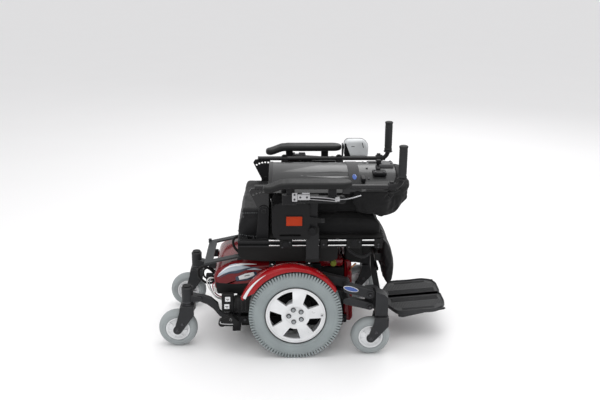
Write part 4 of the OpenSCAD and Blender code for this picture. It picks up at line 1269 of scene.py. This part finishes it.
class BuildWiring(bpy.types.Operator):
    """Build the loom's cables, leads and connectors"""
    bl_idname = "wheelchair.wiring"
    bl_label = "Wiring"

    cables = (
        ("loop_rear", 5, "cable_black",
         [(-320, -96, 268), (-342, -98, 290), (-366, -98, 298), (-384, -100, 286), (-382, -104, 258),
          (-360, -110, 238), (-336, -116, 236), (-319, -118, 244)]),
        ("loop_small", 4, "cable_black",
         [(-320, -60, 262), (-344, -64, 280), (-366, -70, 272), (-366, -76, 248), (-342, -80, 234),
          (-319, -84, 238)]),
        ("lead_right", 5, "cable_black",
         [(-272, -187, 196), (-280, -178, 204), (-286, -160, 210), (-290, -142, 218), (-292, -132, 238),
          (-292, -128, 262)]),
        ("lead_left", 5, "cable_black",
         [(-272, 187, 196), (-280, 178, 204), (-286, 160, 210), (-290, 142, 218), (-292, 132, 238),
          (-292, 128, 262)]),
        ("seat_lead", 5, "cable_black",
         [(-206, -70, 338), (-226, -68, 350), (-244, -62, 372), (-246, -56, 394), (-234, -52, 408),
          (-218, -50, 412)]),
        ("white_lead", 2.6, "lead_white",
         [(-322, -140, 268), (-338, -150, 272), (-346, -156, 258), (-340, -160, 236), (-326, -162, 214),
          (-314, -160, 196), (-300, -152, 184), (-282, -150, 176)]),
        ("grey_lead", 2.2, "lead_grey",
         [(-321, -128, 262), (-334, -136, 262), (-338, -142, 246), (-332, -148, 224), (-322, -152, 204),
          (-306, -150, 188), (-286, -142, 182)]),
        ("red_lead", 2.4, "lead_red",
         [(-320, -138, 248), (-326, -138, 236), (-324, -139, 216), (-316, -138, 200), (-304, -135, 188),
          (-290, -132, 182), (-280, -128, 178)]),
    )

    def execute(self, context):
        first = None
        for name, radius, look, route in self.cables:
            points = smooth_path([at(*p) for p in route], 6)
            bm = bmesh.new()
            tube(bm, points, radius, 14)
            piece = fit(make(name, bm, look), "base", "cable_black")
            first = first or piece
        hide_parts("wiring_loom")
        bm = bmesh.new()
        side_slab(bm, -1, rounded(box2d(-322, 214, -302, 238), 3), 148, 160, 2)
        fit(make("plug_body", bm, "lead_white"), "base")
        bm = bmesh.new()
        side_slab(bm, -1, rounded(box2d(-352, 252, -322, 282), 5), 118, 136, 3)
        side_slab(bm, 1, rounded(box2d(-352, 252, -322, 282), 5), 118, 136, 3)
        fit(make("fuse_blocks", bm, "stick_black"), "base", "tray_black")
        return {"FINISHED"}


class BuildSeat(bpy.types.Operator):
    """Build the seat rails, their clamps, the pan, the cushion and the rear cover"""
    bl_idname = "wheelchair.seat"
    bl_label = "Seat"

    def execute(self, context):
        dress("seat_frame", 0.8, 2)
        dress("seat_pan", 1.0, 1)
        dress("back_brackets", 1.2, 2)
        self.cushion(context)
        self.rear_cover()
        for side, sign in SIDES:
            bm = bmesh.new()
            for x0, x1 in ((-58, -14), (92, 118), (192, 248), (296, 326)):
                side_slab(bm, sign, rounded(box2d(x0, 435, x1, 469), 4), 243, 253, 2.5)
            fit(make(f"rail_clamps_{side}", bm, "tray_black"), "base", "tray_black")
            bm = bmesh.new()
            for x, z in ((-36, 452), (220, 458)):
                lathe(bm, [(0, 250), (12, 250), (13.5, 252), (13, 258), (10, 260), (0, 260)], at(x, 0, z),
                      "Y", 24,
                      sign)
            fit(make(f"rail_knobs_{side}", bm, "stick_black"), "base", "tray_black")
            # painted highlights: bright steel lines along the upper and lower edges of the dark seat rails,
            # between the clamps
            bm = bmesh.new()
            for z in (446.4, 466.4):
                for x0, x1 in ((-100, -60), (-12, 88), (122, 190), (250, 296)):
                    tube(bm, [at(x0, sign * 246.0, z), at(x1, sign * 246.0, z)], 2.7, 10)
            fit(make(f"rail_painted_highlights_{side}", bm, "bright_steel"), "base", "rail_aluminium")
            places = [(at(x, sign * 253, z), (0, sign, 0)) for x, z in
                      ((-50, 442), (-22, 462), (105, 452), (200, 442), (240, 462), (311, 452), (311, 441))]
            fit(studs(f"clamp_bolts_{side}", places, 4.2, 3.2, "bolt_dark", 6), "base", "rail_aluminium")
            bm = bmesh.new()
            tube(bm, smooth_path([at(196, sign * 232, 434), at(206, sign * 238, 420),
                                  at(232, sign * 240, 402),
                                  at(262, sign * 236, 396), at(286, sign * 226, 410)]), 6, 12)
            fit(make(f"rail_strut_{side}", bm, "arm_metal"), "base", "rail_aluminium")
        bm = bmesh.new()
        side_slab(bm, -1, rounded(box2d(196, 330, 262, 432), 12), 96, 140, 8, 4)
        side_slab(bm, -1, rounded(box2d(232, 356, 300, 428), 16), 60, 110, 8, 4)
        fit(make("tilt_gear", bm, "tray_black"), "base", "tray_black")
        bm = bmesh.new()
        lathe(bm, [(0, -168), (11, -168), (12, -164), (12, -150), (0, -150)], at(149, 0, 338), "Y", 24)
        fit(make("lime_cap", bm, "lime_cap"), "base")
        bm = bmesh.new()
        tube(bm, smooth_path([at(214, -150, 300), at(222, -156, 318), at(236, -150, 330),
                              at(240, -132, 322)]), 3, 10)
        fit(make("earth_strap", bm, "copper"), "base")
        return {"FINISHED"}

    def cushion(self, context):
        cushion = soft_copy("seat_cushion", "seat_cushion_cover", "fabric_black")
        puffed(cushion, 6.0, 9.0, context.scene.chair_sizes.swell * 1000)
        displaced(cushion, lambda x, y, z: folds(x, y, z, (0.012, 0.012, 0.03), 1.3, 3.1))
        subdivide(cushion)
        fit(cushion, "base", "fabric_black", "seat_cushion")

    def rear_cover(self):
        outline = rounded([(-221, 447), (-213, 438), (-103, 438), (-103, 573), (-190, 573), (-198, 566),
                           (-219, 500)], 7, 3)
        bm = bmesh.new()
        pillow(bm, outline, -187, 187, 13, across, 5)
        cover = make("rear_cover_skin", bm, "cover_black")
        remesh = cover.modifiers.new("Even", "REMESH")
        remesh.mode = "VOXEL"
        remesh.voxel_size = 0.005
        remesh.use_smooth_shade = True
        settle(cover)

        def crumple(x, y, z):
            edge = 2.2 if z > 556 else 0.0
            return folds(x, y, z, (0.02, 0.013, 0.016), 2.0, 8.3) - 1.2 + edge

        displaced(cover, crumple)
        fit(cover, "base", "cover_black", "rear_cover")
        places = []
        for sign in (-1, 1):
            places += [(at(x, sign * 186.6, z), (0, sign, 0)) for x, z in
                       ((-196, 452), (-196, 540), (-116, 452), (-116, 556), (-160, 452))]
        places += [(at(-219.5, y, 470), (-1, 0, 0)) for y in (-150, -75, 0, 75, 150)]
        fit(studs("cover_rivets", places, 4.0, 2.0, "bolt_dark", 12, 0.5), "base", "cover_black")
        lines = [smooth_path([at(-206, sign * 188.6, 556), at(-112, sign * 188.6, 556)], 10)
                 for sign in (-1, 1)]
        lines += [smooth_path([at(-210, sign * 188.4, 470), at(-160, sign * 188.8, 462),
                               at(-110, sign * 188.4, 466)], 8)
                  for sign in (-1, 1)]
        fit(stitches("cover_stitches", lines, "lead_grey", 8.0, 0.5, 4.5), "base", "cover_black")


class BuildBack(bpy.types.Operator):
    """Build the folded back: canes, shell, head plate, cushion and push handles"""
    bl_idname = "wheelchair.back"
    bl_label = "Back"

    # folds of the side wings: side-view start and end, width and height
    wing_folds = (
        ((318, 625), (412, 700), 10, 5.0), ((369, 652), (409, 694), 5, -8.0),
        ((338, 613), (432, 643), 8, 4.5), ((338, 627), (401, 638), 5, -7.0),
        ((258, 616), (304, 616), 5, -4.0), ((304, 600), (440, 622), 5, -4.0),
        ((270, 582), (425, 600), 16, 2.5), ((300, 556), (400, 582), 7, -2.5),
        ((262, 650), (330, 668), 6, -3.0),
    )

    def execute(self, context):
        dress("back_frame", 0.9, 2)
        self.handles()
        self.shell()
        self.head_plate()
        self.cushion(context)
        self.flap()
        self.grips()
        return {"FINISHED"}

    def arc(self, x, y, lift=0.0):
        """A point on the shell's cross arc."""
        return at(x, y, SHELL_TOP - SHELL_R + math.sqrt(max(0.0, (SHELL_R + lift) ** 2 - y * y)))

    def reach(self, x):
        """Half of the shell's width at x, which narrows over its rounded upper end."""
        if x < 322:
            return 185.5
        t = min(1.0, (x - 322) / 70)
        return 56 + 129.5 * math.sqrt(max(0.0, 1 - t ** 2.2))

    def shell(self):
        """The dark shell with a long sunk flute on each side of its middle."""

        def flute(x, y):
            depth = 0.0
            for middle in (-92, 92):
                t = (x - 20) / 226
                if 0 < t < 1:
                    half = 30 * math.sin(math.pi * min(1.0, t * 0.62 + 0.38)) ** 0.6 * min(1, t * 1.6)
                    if half > 0.5:
                        reach = abs(y - middle) / half
                        if reach < 1:
                            depth = max(depth, 4.2 * (1 - reach * reach) ** 2 * min(1.0, (1 - t) * 8))
            edge = max(0.0, abs(y) - 172) / 14
            return -depth - 2.0 * edge * edge

        columns, rows = 110, 96
        bm = bmesh.new()
        grid = []
        for i in range(columns + 1):
            x = -91.5 + 483 * i / columns
            reach = self.reach(x)
            grid.append([bm.verts.new(self.arc(x, y, flute(x, y))) for y in
                         (-reach + 2 * reach * j / rows for j in range(rows + 1))])
        for i in range(columns):
            for j in range(rows):
                bm.faces.new((grid[i][j], grid[i + 1][j], grid[i + 1][j + 1], grid[i][j + 1]))
        shell = make("back_shell_skin", bm, "shell_grey", outward=False)
        if sum(f.normal.z * f.area for f in shell.data.polygons) < 0:
            shell.data.flip_normals()
        thicken(shell, 4.4)
        soften_edges(shell, 1.2, 2, 50)
        fit(shell, "back", "shell_grey", "back_shell")
        bm = bmesh.new()
        for x0, x1 in ((206, 250), (-101, -86)):
            rings = []
            for k in range(41):
                y = -187 + 374 * k / 40
                rings.append([bm.verts.new(self.arc(x, y, lift)) for x, lift in
                              ((x0, 0.4), (x0 + 1, 2.4), (x1 - 1, 2.4), (x1, 0.4))])
            bridge(bm, rings)
        fit(make("shell_straps", bm, "webbing"), "back", "fabric_black")
        bm = bmesh.new()
        rows = []
        for k in range(17):
            y = -128 + 34 * k / 16
            half = 8.5 * math.sqrt(max(0.02, 1 - ((k - 8) / 8) ** 2))
            rows.append([bm.verts.new(self.arc(228 + half * c, y, 3.0)) for c in (-1, -0.5, 0, 0.5, 1)])
        bridge(bm, rows, closed_ends=False, closed_ring=False)
        mark = make("strap_mark", bm, "badge_blue", outward=False)
        if sum(f.normal.z * f.area for f in mark.data.polygons) < 0:
            mark.data.flip_normals()
        fit(thicken(mark, 0.3), "back")
        bm = bmesh.new()
        pillow(bm, rounded(box2d(252, -150, 268, -96), 4), 664, 678, 3, upward, 3)
        fit(make("strap_buckle", bm, "stick_black"), "back")

    def head_plate(self):
        bm = bmesh.new()
        pillow(bm, rounded(box2d(332, -26, 390, 26), 5), 686.5, 700, 2.5, upward, 3)
        fit(make("head_rest_plate", bm, "plate_grey"), "back", "shell_grey")
        bm = bmesh.new()
        rings = []
        for k in range(33):
            y = 40 + 96 * k / 32
            x0, x1 = 296 + 2 * k / 32, 376 - 14 * (k / 32) ** 2
            rings.append([bm.verts.new(self.arc(x, y, lift)) for x, lift in
                          ((x0, 0.2), (x0 + 1.5, 4.0), (x0 + 5, 5.2), (x1 - 5, 5.2), (x1 - 1.5, 4.0),
                           (x1, 0.2))])
        bridge(bm, rings)
        fit(make("shell_pad", bm, "plate_grey"), "back", "shell_grey")
        bm = bmesh.new()
        pillow(bm, rounded(box2d(300, -112, 352, -62), 6), 676, 690, 4, upward, 3)
        pillow(bm, rounded(box2d(322, -24, 340, -4), 4), 696, 716, 3, upward, 3)
        pillow(bm, rounded(box2d(318, -70, 332, -14), 4), 688, 696, 3, upward, 3)
        fit(make("head_rest_clamp", bm, "stick_black"), "back", "shell_grey")
        places = [(at(x, y, 700), (0, 0, 1)) for x in (341, 381) for y in (-17, 17)]
        for x, y in ((310, -100), (342, -100), (310, -74)):
            places.append((at(x, y, 690), (0, 0, 1)))
        for x, y in ((282, -120), (282, 120), (282, -40), (282, 40)):
            places.append((self.arc(x, y, 0.2), (0, y / SHELL_R, math.sqrt(1 - (y / SHELL_R) ** 2))))
        fit(studs("shell_bolts", places, 5.0, 3.0, "bolt_dark", 6), "back", "shell_grey")
        bm = bmesh.new()
        for sign in (-1, 1):
            rows = []
            for k in range(25):
                x = 266 + 122 * k / 24
                edge = self.reach(x)
                rows.append([bm.verts.new(self.arc(x, sign * (edge - drop), lift)) for drop, lift in
                             ((1, 0.3), (2.5, 2.6), (9, 2.8), (11, 0.3))])
            bridge(bm, rows)
        fit(make("shell_rim", bm, "handle_black"), "back", "shell_grey")

    def cushion(self, context):
        """The back cushion and its deep side wings, swollen and then creased."""
        depth = context.scene.chair_sizes.crease * 1000
        cushion = soft_copy("back_cushion", "back_cushion_cover", "fabric_black")
        puffed(cushion, 6.0, 4.0, 18.0)

        def crease(x, y, z):
            side = min(1.0, max(0.0, (abs(y) - 60) / 60))
            value = folds(x * 0.8 + z * 0.6, y * 0.4, z - x * 0.35, (0.0085, 0.010, 0.026), depth * 0.6, 5.2)
            for start, end, width, lift in self.wing_folds:
                a, b, here = Vector(start), Vector(end), Vector((x, z))
                t = (here - a).dot(b - a) / (b - a).length_squared
                away = (a + (b - a) * max(0.0, min(1.0, t)) - here).length / width
                value += side * lift * math.exp(-away * away)
            seam = -3.0 * math.exp(-((x - 246) / 5) ** 2) if z > 540 else 0.0
            return min(5.0, value) + seam - 0.8

        displaced(cushion, crease)
        subdivide(cushion)
        for vertex in cushion.data.vertices:
            x, y, z = (vertex.co.x - AXLE_X) / MM, vertex.co.y / MM, vertex.co.z / MM
            if x < 396 and abs(y) < 200:
                lid = SHELL_TOP - SHELL_R + math.sqrt((SHELL_R - 10.5) ** 2 - y * y)
                vertex.co.z = min(z, lid) * MM
        fit(cushion, "back", "fabric_black", "back_cushion")

    def flap(self):
        """The fabric flap that hangs from the shell's lower end."""
        bm = bmesh.new()
        side_slab(bm, 1, rounded(box2d(-99, 572, -95, 650), 1.8), -150, 150, 1)
        fit(make("back_flap", bm, "fabric_black"), "back")

    def handles(self):
        """Bent handle tubes with a clamp at the cane and a flange under the grip."""
        bm = bmesh.new()
        for _, sign in SIDES:
            y = sign * 205
            route = [(346, 663), (366, 663), (380, 666), (391, 676), (396.4, 690), (397, 700)]
            tube(bm, smooth_path([at(x, y, z) for x, z in route], 5) + [at(397, y, 812)], 9.0, 24)
            lathe(bm, [(0, 346), (14.4, 346), (15.2, 348), (15.2, 372), (14.4, 374), (0, 374)],
                  at(0, y, 663), "X", 40)
            lathe(bm, [(0, 690), (15, 690), (18.4, 692), (18.4, 695.6), (15, 697.4), (0, 697.4)],
                  at(397, y, 0), "Z", 40)
            pillow(bm, rounded([(350, 674), (366, 674), (366, 684), (350, 684)], 3), y - 8, y + 8,
                   2, across, 3)
        fit(make("handle_tubes", bm, "handle_black"), "back", "handle_black", "push_handles")

    def grips(self):
        """Ribbed rubber grips."""
        length = 121
        for side, sign in SIDES:
            profile = [(9.2, 0), (16, 0), (16.8, 2), (16.8, 4.5), (15.2, 6), (15, 10)]
            for k in range(13):
                z = 14 + k * 7
                profile += [(15, z), (15.8, z + 1.5), (15.8, z + 4), (15, z + 5.5)]
            profile += [(15.4, length - 9), (16.8, length - 6), (16.6, length - 2), (13.5, length),
                        (6, length + 0.1), (0, length + 0.1), (0, 113.6), (9.2, 113.6)]
            bm = bmesh.new()
            lathe(bm, profile, at(397, sign * 205, 700), "Z", 40)
            piece = fit(make(f"grip_{side}", bm, "grip_rubber", 50), "back", "grip_rubber")
            if side == "right":
                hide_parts("grips")


class BuildArmrests(bpy.types.Operator):
    """Build the armrest pads, guards, reflectors and adjusters"""
    bl_idname = "wheelchair.armrests"
    bl_label = "Armrests"

    def execute(self, context):
        for side, sign in SIDES:
            body = "armrest_" + side
            dress("arm_frame_" + side, 1.2, 2)
            dress("side_guard_" + side, 1.5, 2)
            self.pad(side, sign, body)
            bm = bmesh.new()
            side_slab(bm, sign, rounded(box2d(-38, 530, 27, 572), 3), 267.2, 268.8, 0.6, 2)
            fit(make(f"reflector_frame_{side}", bm, "guard_black"), body)
            bm = bmesh.new()
            side_slab(bm, sign, rounded(box2d(-35, 533, 24, 569), 2), 268.2, 271.0, 1.2, 3)
            fit(make(f"reflector_{side}", bm, "reflector_orange"), body)
            self.adjuster(side, sign, body)
        return {"FINISHED"}

    def pad(self, side, sign, body):
        """A pad with a rounded front and a rear end that droops."""
        outline = rounded([(-120, 18), (-96, 2), (-20, 0), (180, 0), (205, 20), (205, 54), (180, 74),
                           (-20, 74), (-96, 72), (-120, 56)], 24, 8)
        bm = bmesh.new()
        pillow(bm, [(u, sign * 272 + (v - 37)) for u, v in outline], 683.4, 707.9, 10, upward, 6)
        pad = make(f"arm_pad_cover_{side}", bm, "pad_black")
        remesh = pad.modifiers.new("Even", "REMESH")
        remesh.mode = "VOXEL"
        remesh.voxel_size = 0.004
        remesh.use_smooth_shade = True
        settle(pad)
        for vertex in pad.data.vertices:
            x = (vertex.co.x - AXLE_X) / MM
            t = max(0.0, min(1.0, (-38 - x) / 70))
            vertex.co.z -= 19 * t * t * (3 - 2 * t) * MM
        displaced(pad, lambda x, y, z: -1.6 * math.exp(-((x + 40) / 9) ** 2) * (1 if z > 690 else 0)
                  + 0.5 * noise.noise(Vector((x, y, z)) * 0.02))
        subdivide(pad)
        fit(pad, body, "pad_black", "arm_pad_" + side)

    def adjuster(self, side, sign, body):
        """Bright blocks and screws along the rail's outer face, and bright rods there that are painted
        highlights along the dark rail's edges.
        """
        bm = bmesh.new()
        side_slab(bm, sign, rounded(box2d(-14, 634, 6, 668), 3), 285, 292, 1.5)
        side_slab(bm, sign, rounded(box2d(6, 640, 52, 662), 4), 284, 294, 2)
        side_slab(bm, sign, rounded(box2d(22, 658, 50, 668), 2), 284, 290, 1.5)
        side_slab(bm, sign, rounded(box2d(142, 634, 160, 650), 3), 284, 291, 1.5)
        fit(make(f"adjuster_blocks_{side}", bm, "dull_steel"), body, "arm_metal")
        # painted highlights: two bright rods along the edges of the dark rail, and on the right side a third
        # one that rises towards the handle
        bm = bmesh.new()
        tube(bm, smooth_path([at(48, sign * 290, 652), at(110, sign * 290, 648), at(150, sign * 290, 641)],
                             4), 2.6, 12)
        tube(bm, smooth_path([at(48, sign * 288, 642), at(110, sign * 288, 637), at(150, sign * 288, 633)],
                             4), 1.8, 10)
        if sign < 0:
            tube(bm, smooth_path([at(152, sign * 288, 641), at(196, sign * 284, 643),
                                  at(238, sign * 276, 652)], 4),
                 2.4, 12)
        fit(make(f"adjuster_painted_highlights_{side}", bm, "dull_steel"), body, "arm_metal")
        places = [(at(x, sign * 292, z), (0, sign, 0)) for x, z in ((-5, 642), (-5, 660))]
        places += [(at(x, sign * 294, z), (0, sign, 0)) for x, z in ((16, 651), (40, 651))]
        fit(studs(f"adjuster_screws_{side}", places, 4.4, 3.0, "bolt_dark", 6), body, "arm_metal")
        bm = bmesh.new()
        side_slab(bm, sign, rounded(box2d(40, 498, 86, 524), 4), 243, 264, 3)
        side_slab(bm, sign, rounded(box2d(36, 384, 90, 398), 4), 243, 264, 3)
        fit(make(f"receiver_collars_{side}", bm, "tray_black"), "base", "tray_black")
        bm = bmesh.new()
        lathe(bm, [(0, 262), (13, 262), (15, 264), (15, 273), (12, 276), (0, 276)], at(62, 0, 511), "Y", 20,
              sign)
        fit(make(f"receiver_knob_{side}", bm, "stick_black"), "base", "tray_black")


class BuildJoystick(bpy.types.Operator):
    """Build the joystick's pod and stick"""
    bl_idname = "wheelchair.joystick"
    bl_label = "Joystick"

    def execute(self, context):
        outline = rounded([(214, 672), (222, 657), (312, 657), (318, 668), (318, 712), (296, 737), (226, 737),
                           (214, 724)], 18, 6)
        bm = bmesh.new()
        pillow(bm, outline, 230, 270, 15, across, 8)
        pod = make("pod_shell", bm, "pod_silver")
        subdivide(pod)
        fit(pod, "joystick", "pod_silver", "joystick_pod")
        bm = bmesh.new()
        pillow(bm, rounded([(213.4, 671), (221.5, 656.2), (312.4, 656.2), (318.8, 667.6), (318.8, 712.4),
                            (296.4, 737.8), (225.6, 737.8), (213.2, 724.4)], 18, 6), 253, 259, 1, across, 2)
        fit(make("pod_seam", bm, "stick_black"), "joystick", "stick_black")
        bm = bmesh.new()
        pillow(bm, rounded([(215, 664), (224, 658.5), (246, 658.5), (238, 670), (228, 692), (221, 722),
                            (216, 718)], 3, 4), 229.2, 240, 1.5, across, 3)
        pillow(bm, rounded(box2d(240, 657.6, 312, 661), 1.5, 3), 229.4, 240, 1, across, 2)
        fit(make("pod_grip_band", bm, "stick_black"), "joystick", "stick_black")
        bm = bmesh.new()
        pillow(bm, rounded([(294, 702), (297, 702), (291, 724), (288, 724)], 1, 2), 229.4, 231,
               0.4, across, 2)
        pillow(bm, rounded(box2d(244, 706, 258, 708.5), 1, 2), 229.4, 231, 0.4, across, 2)
        fit(make("pod_slits", bm, "stick_black"), "joystick", "stick_black")
        bm = bmesh.new()
        lathe(bm, [(12, 270.2), (23, 270.2), (24, 271.6), (22, 273), (18, 272.4), (12, 272)],
              at(274, 0, 697), "Y", 40)
        fit(make("pod_collar", bm, "stick_black"), "joystick", "stick_black")
        places = [(at(274 + 34 * math.cos(a), 270, 697 + 30 * math.sin(a)), (0, 1, 0))
                  for a in (math.radians(45 + 90 * k) for k in range(4))]
        fit(studs("pod_buttons", places, 5, 2.2, "guard_black", 20, 0.85), "joystick", "stick_black")
        bm = bmesh.new()
        profile = [(0, 258), (6, 258), (13, 272), (10.5, 274), (11, 276), (8, 278), (8.4, 280), (5.5, 283),
                   (4, 288), (5, 290), (9, 292), (10, 296), (8.6, 301), (5, 303.6), (0, 304)]
        lathe(bm, profile, at(274, 0, 697), "Y", 36)
        fit(make("stick_and_boot", bm, "stick_black", 60), "stick", "stick_black", "joystick_stick")
        return {"FINISHED"}


class BuildLegRest(bpy.types.Operator):
    """Build the calf pads, the hanger and the gripped footplates"""
    bl_idname = "wheelchair.legrest"
    bl_label = "Leg rest"

    def execute(self, context):
        dress("legrest_hanger", 1.2, 2)
        for side, sign in SIDES:
            self.calf_pad(side, sign)
            self.footplate(context, side, sign)
        return {"FINISHED"}

    def calf_pad(self, side, sign):
        pad = soft_copy("calf_pads", f"calf_pad_cover_{side}", "vinyl_black", lambda co: co.y * sign > 0)
        puffed(pad, 4.0, 4.0, 8.0)

        def channels(x, y, z):
            seam = min(abs(abs(y) - s) for s in (38, 71, 104))
            return -2.4 * math.exp(-(seam / 3.2) ** 2) + 0.5 * noise.noise(Vector((x, y * 2, z)) * 0.03)

        displaced(pad, channels)
        subdivide(pad)
        fit(pad, "legrest", "vinyl_black", *(["calf_pads"] if side == "right" else []))

    def footplate(self, context, side, sign):
        """A moulded plate with a raised rim, ribs and rows of grip dots."""
        pitch = context.scene.chair_sizes.grip_pitch * 1000
        cos, sin = math.cos(FOOT_TILT), math.sin(FOOT_TILT)

        def plate(u, v, w):
            return at(FOOT_X + u * cos - w * sin, sign * (4 + v), FOOT_Z + u * sin + w * cos)

        def plate_side(u, v, w):
            return plate(u, w, v)

        outline = rounded([(0, 0), (237, 0), (237, 92), (222, 128), (182, 148), (118, 143), (60, 147),
                           (34, 140), (0, 66)], 16, 6)
        bm = bmesh.new()
        pillow(bm, outline, -13.9, -2.2, 3, plate, 4)
        slab = make(f"plate_slab_{side}", bm, "foot_grey")
        bm = bmesh.new()
        rim = inset_loop(outline if area(outline) > 0 else outline[::-1], 5.0)
        outer = inset_loop(outline if area(outline) > 0 else outline[::-1], 0.6)
        rings = []
        for (a, b), (c, d) in zip(outer, rim):
            if b < 1.5:
                b = d = 1.5
            rings.append([(a, b, -3), (a, b, 1.6), ((a + c) / 2, (b + d) / 2, 2.9), (c, d, 1.6), (c, d, -3)])
        loops = [[bm.verts.new(plate(*p)) for p in ring] for ring in rings]
        bridge(bm, loops + loops[:1], closed_ends=False)
        lip = make(f"plate_lip_{side}", bm, "foot_grey")
        bm = bmesh.new()
        for k in range(9):
            v = 16 + k * 4.2
            pillow(bm, rounded(box2d(24, v, 218, v + 1.8), 0.8, 2), -2.6, -0.8, 0.6, plate, 2)
        for k in range(3):
            v = 112 + k * 6
            pillow(bm, rounded(box2d(58, v, 190, v + 2.2), 1, 2), -2.6, -0.8, 0.6, plate, 2)
        ribs = make(f"plate_ribs_{side}", bm, "foot_grey")
        bm = bmesh.new()
        pillow(bm, rounded([(40, -4), (232, -4), (226, -10), (150, -16), (58, -30), (40, -26)], 4),
               128, 140, 3, plate_side, 3)
        lower_band = make(f"plate_skirt_{side}", bm, "foot_grey")
        piece = joined(f"footplate_moulding_{side}", [slab, lip, ribs, lower_band])
        fit(piece, "foot_" + side, "foot_grey", "footplate_" + side)
        up = plate(0, 0, 1) - plate(0, 0, 0)
        places = []
        u = 22.0
        line = 0
        while u < 226:
            v = 60.0 + (pitch / 2 if line % 2 else 0)
            while v < 106:
                if (u < 200 or v < 96) and v < 66 + u:
                    places.append((plate(u, v, -2.3), up))
                v += pitch
            u += pitch * 0.87
            line += 1
        fit(studs(f"grip_dots_{side}", places, 1.9, 1.5, "foot_grey", 6, 0.55), "foot_" + side, "foot_grey")


# ---- Panel and registration ----

BUILDERS = (BuildStage, BuildDriveWheels, BuildCasters, BuildChassis, BuildPanels, BuildWiring, BuildSeat,
            BuildBack, BuildArmrests, BuildJoystick, BuildLegRest)


class WheelchairPanel(bpy.types.Panel):
    """Lists the wheelchair's sizes, colours and builders"""
    bl_idname = "VIEW3D_PT_wheelchair"
    bl_label = "Wheelchair"
    bl_space_type = "VIEW_3D"
    bl_region_type = "UI"
    bl_category = "Wheelchair"

    def draw(self, context):
        for group_of, names in ((context.scene.chair_colours,
                                 ("fender", "panels", "tyres", "fabric", "reflector")),
                                (context.scene.chair_sizes,
                                 ("lugs", "lug_width", "crease", "swell", "grip_pitch"))):
            for name in names:
                self.layout.prop(group_of, name)
        for builder in BUILDERS:
            self.layout.operator(builder.bl_idname)


CLASSES = (ChairColours, ChairSizes) + BUILDERS + (WheelchairPanel,)


def register():
    for entry in CLASSES:
        bpy.utils.register_class(entry)
    bpy.types.Scene.chair_colours = bpy.props.PointerProperty(type=ChairColours)
    bpy.types.Scene.chair_sizes = bpy.props.PointerProperty(type=ChairSizes)


def unregister():
    del bpy.types.Scene.chair_sizes
    del bpy.types.Scene.chair_colours
    for entry in CLASSES[::-1]:
        bpy.utils.unregister_class(entry)


def main():
    register()
    bpy.ops.wheelchair.stage()
    bpy.ops.wheelchair.wiring()
    bpy.ops.wheelchair.drive_wheels()
    bpy.ops.wheelchair.casters()
    bpy.ops.wheelchair.chassis()
    bpy.ops.wheelchair.panels()
    bpy.ops.wheelchair.seat()
    bpy.ops.wheelchair.back()
    bpy.ops.wheelchair.armrests()
    bpy.ops.wheelchair.joystick()
    bpy.ops.wheelchair.legrest()


if __name__ == "__main__":
    main()
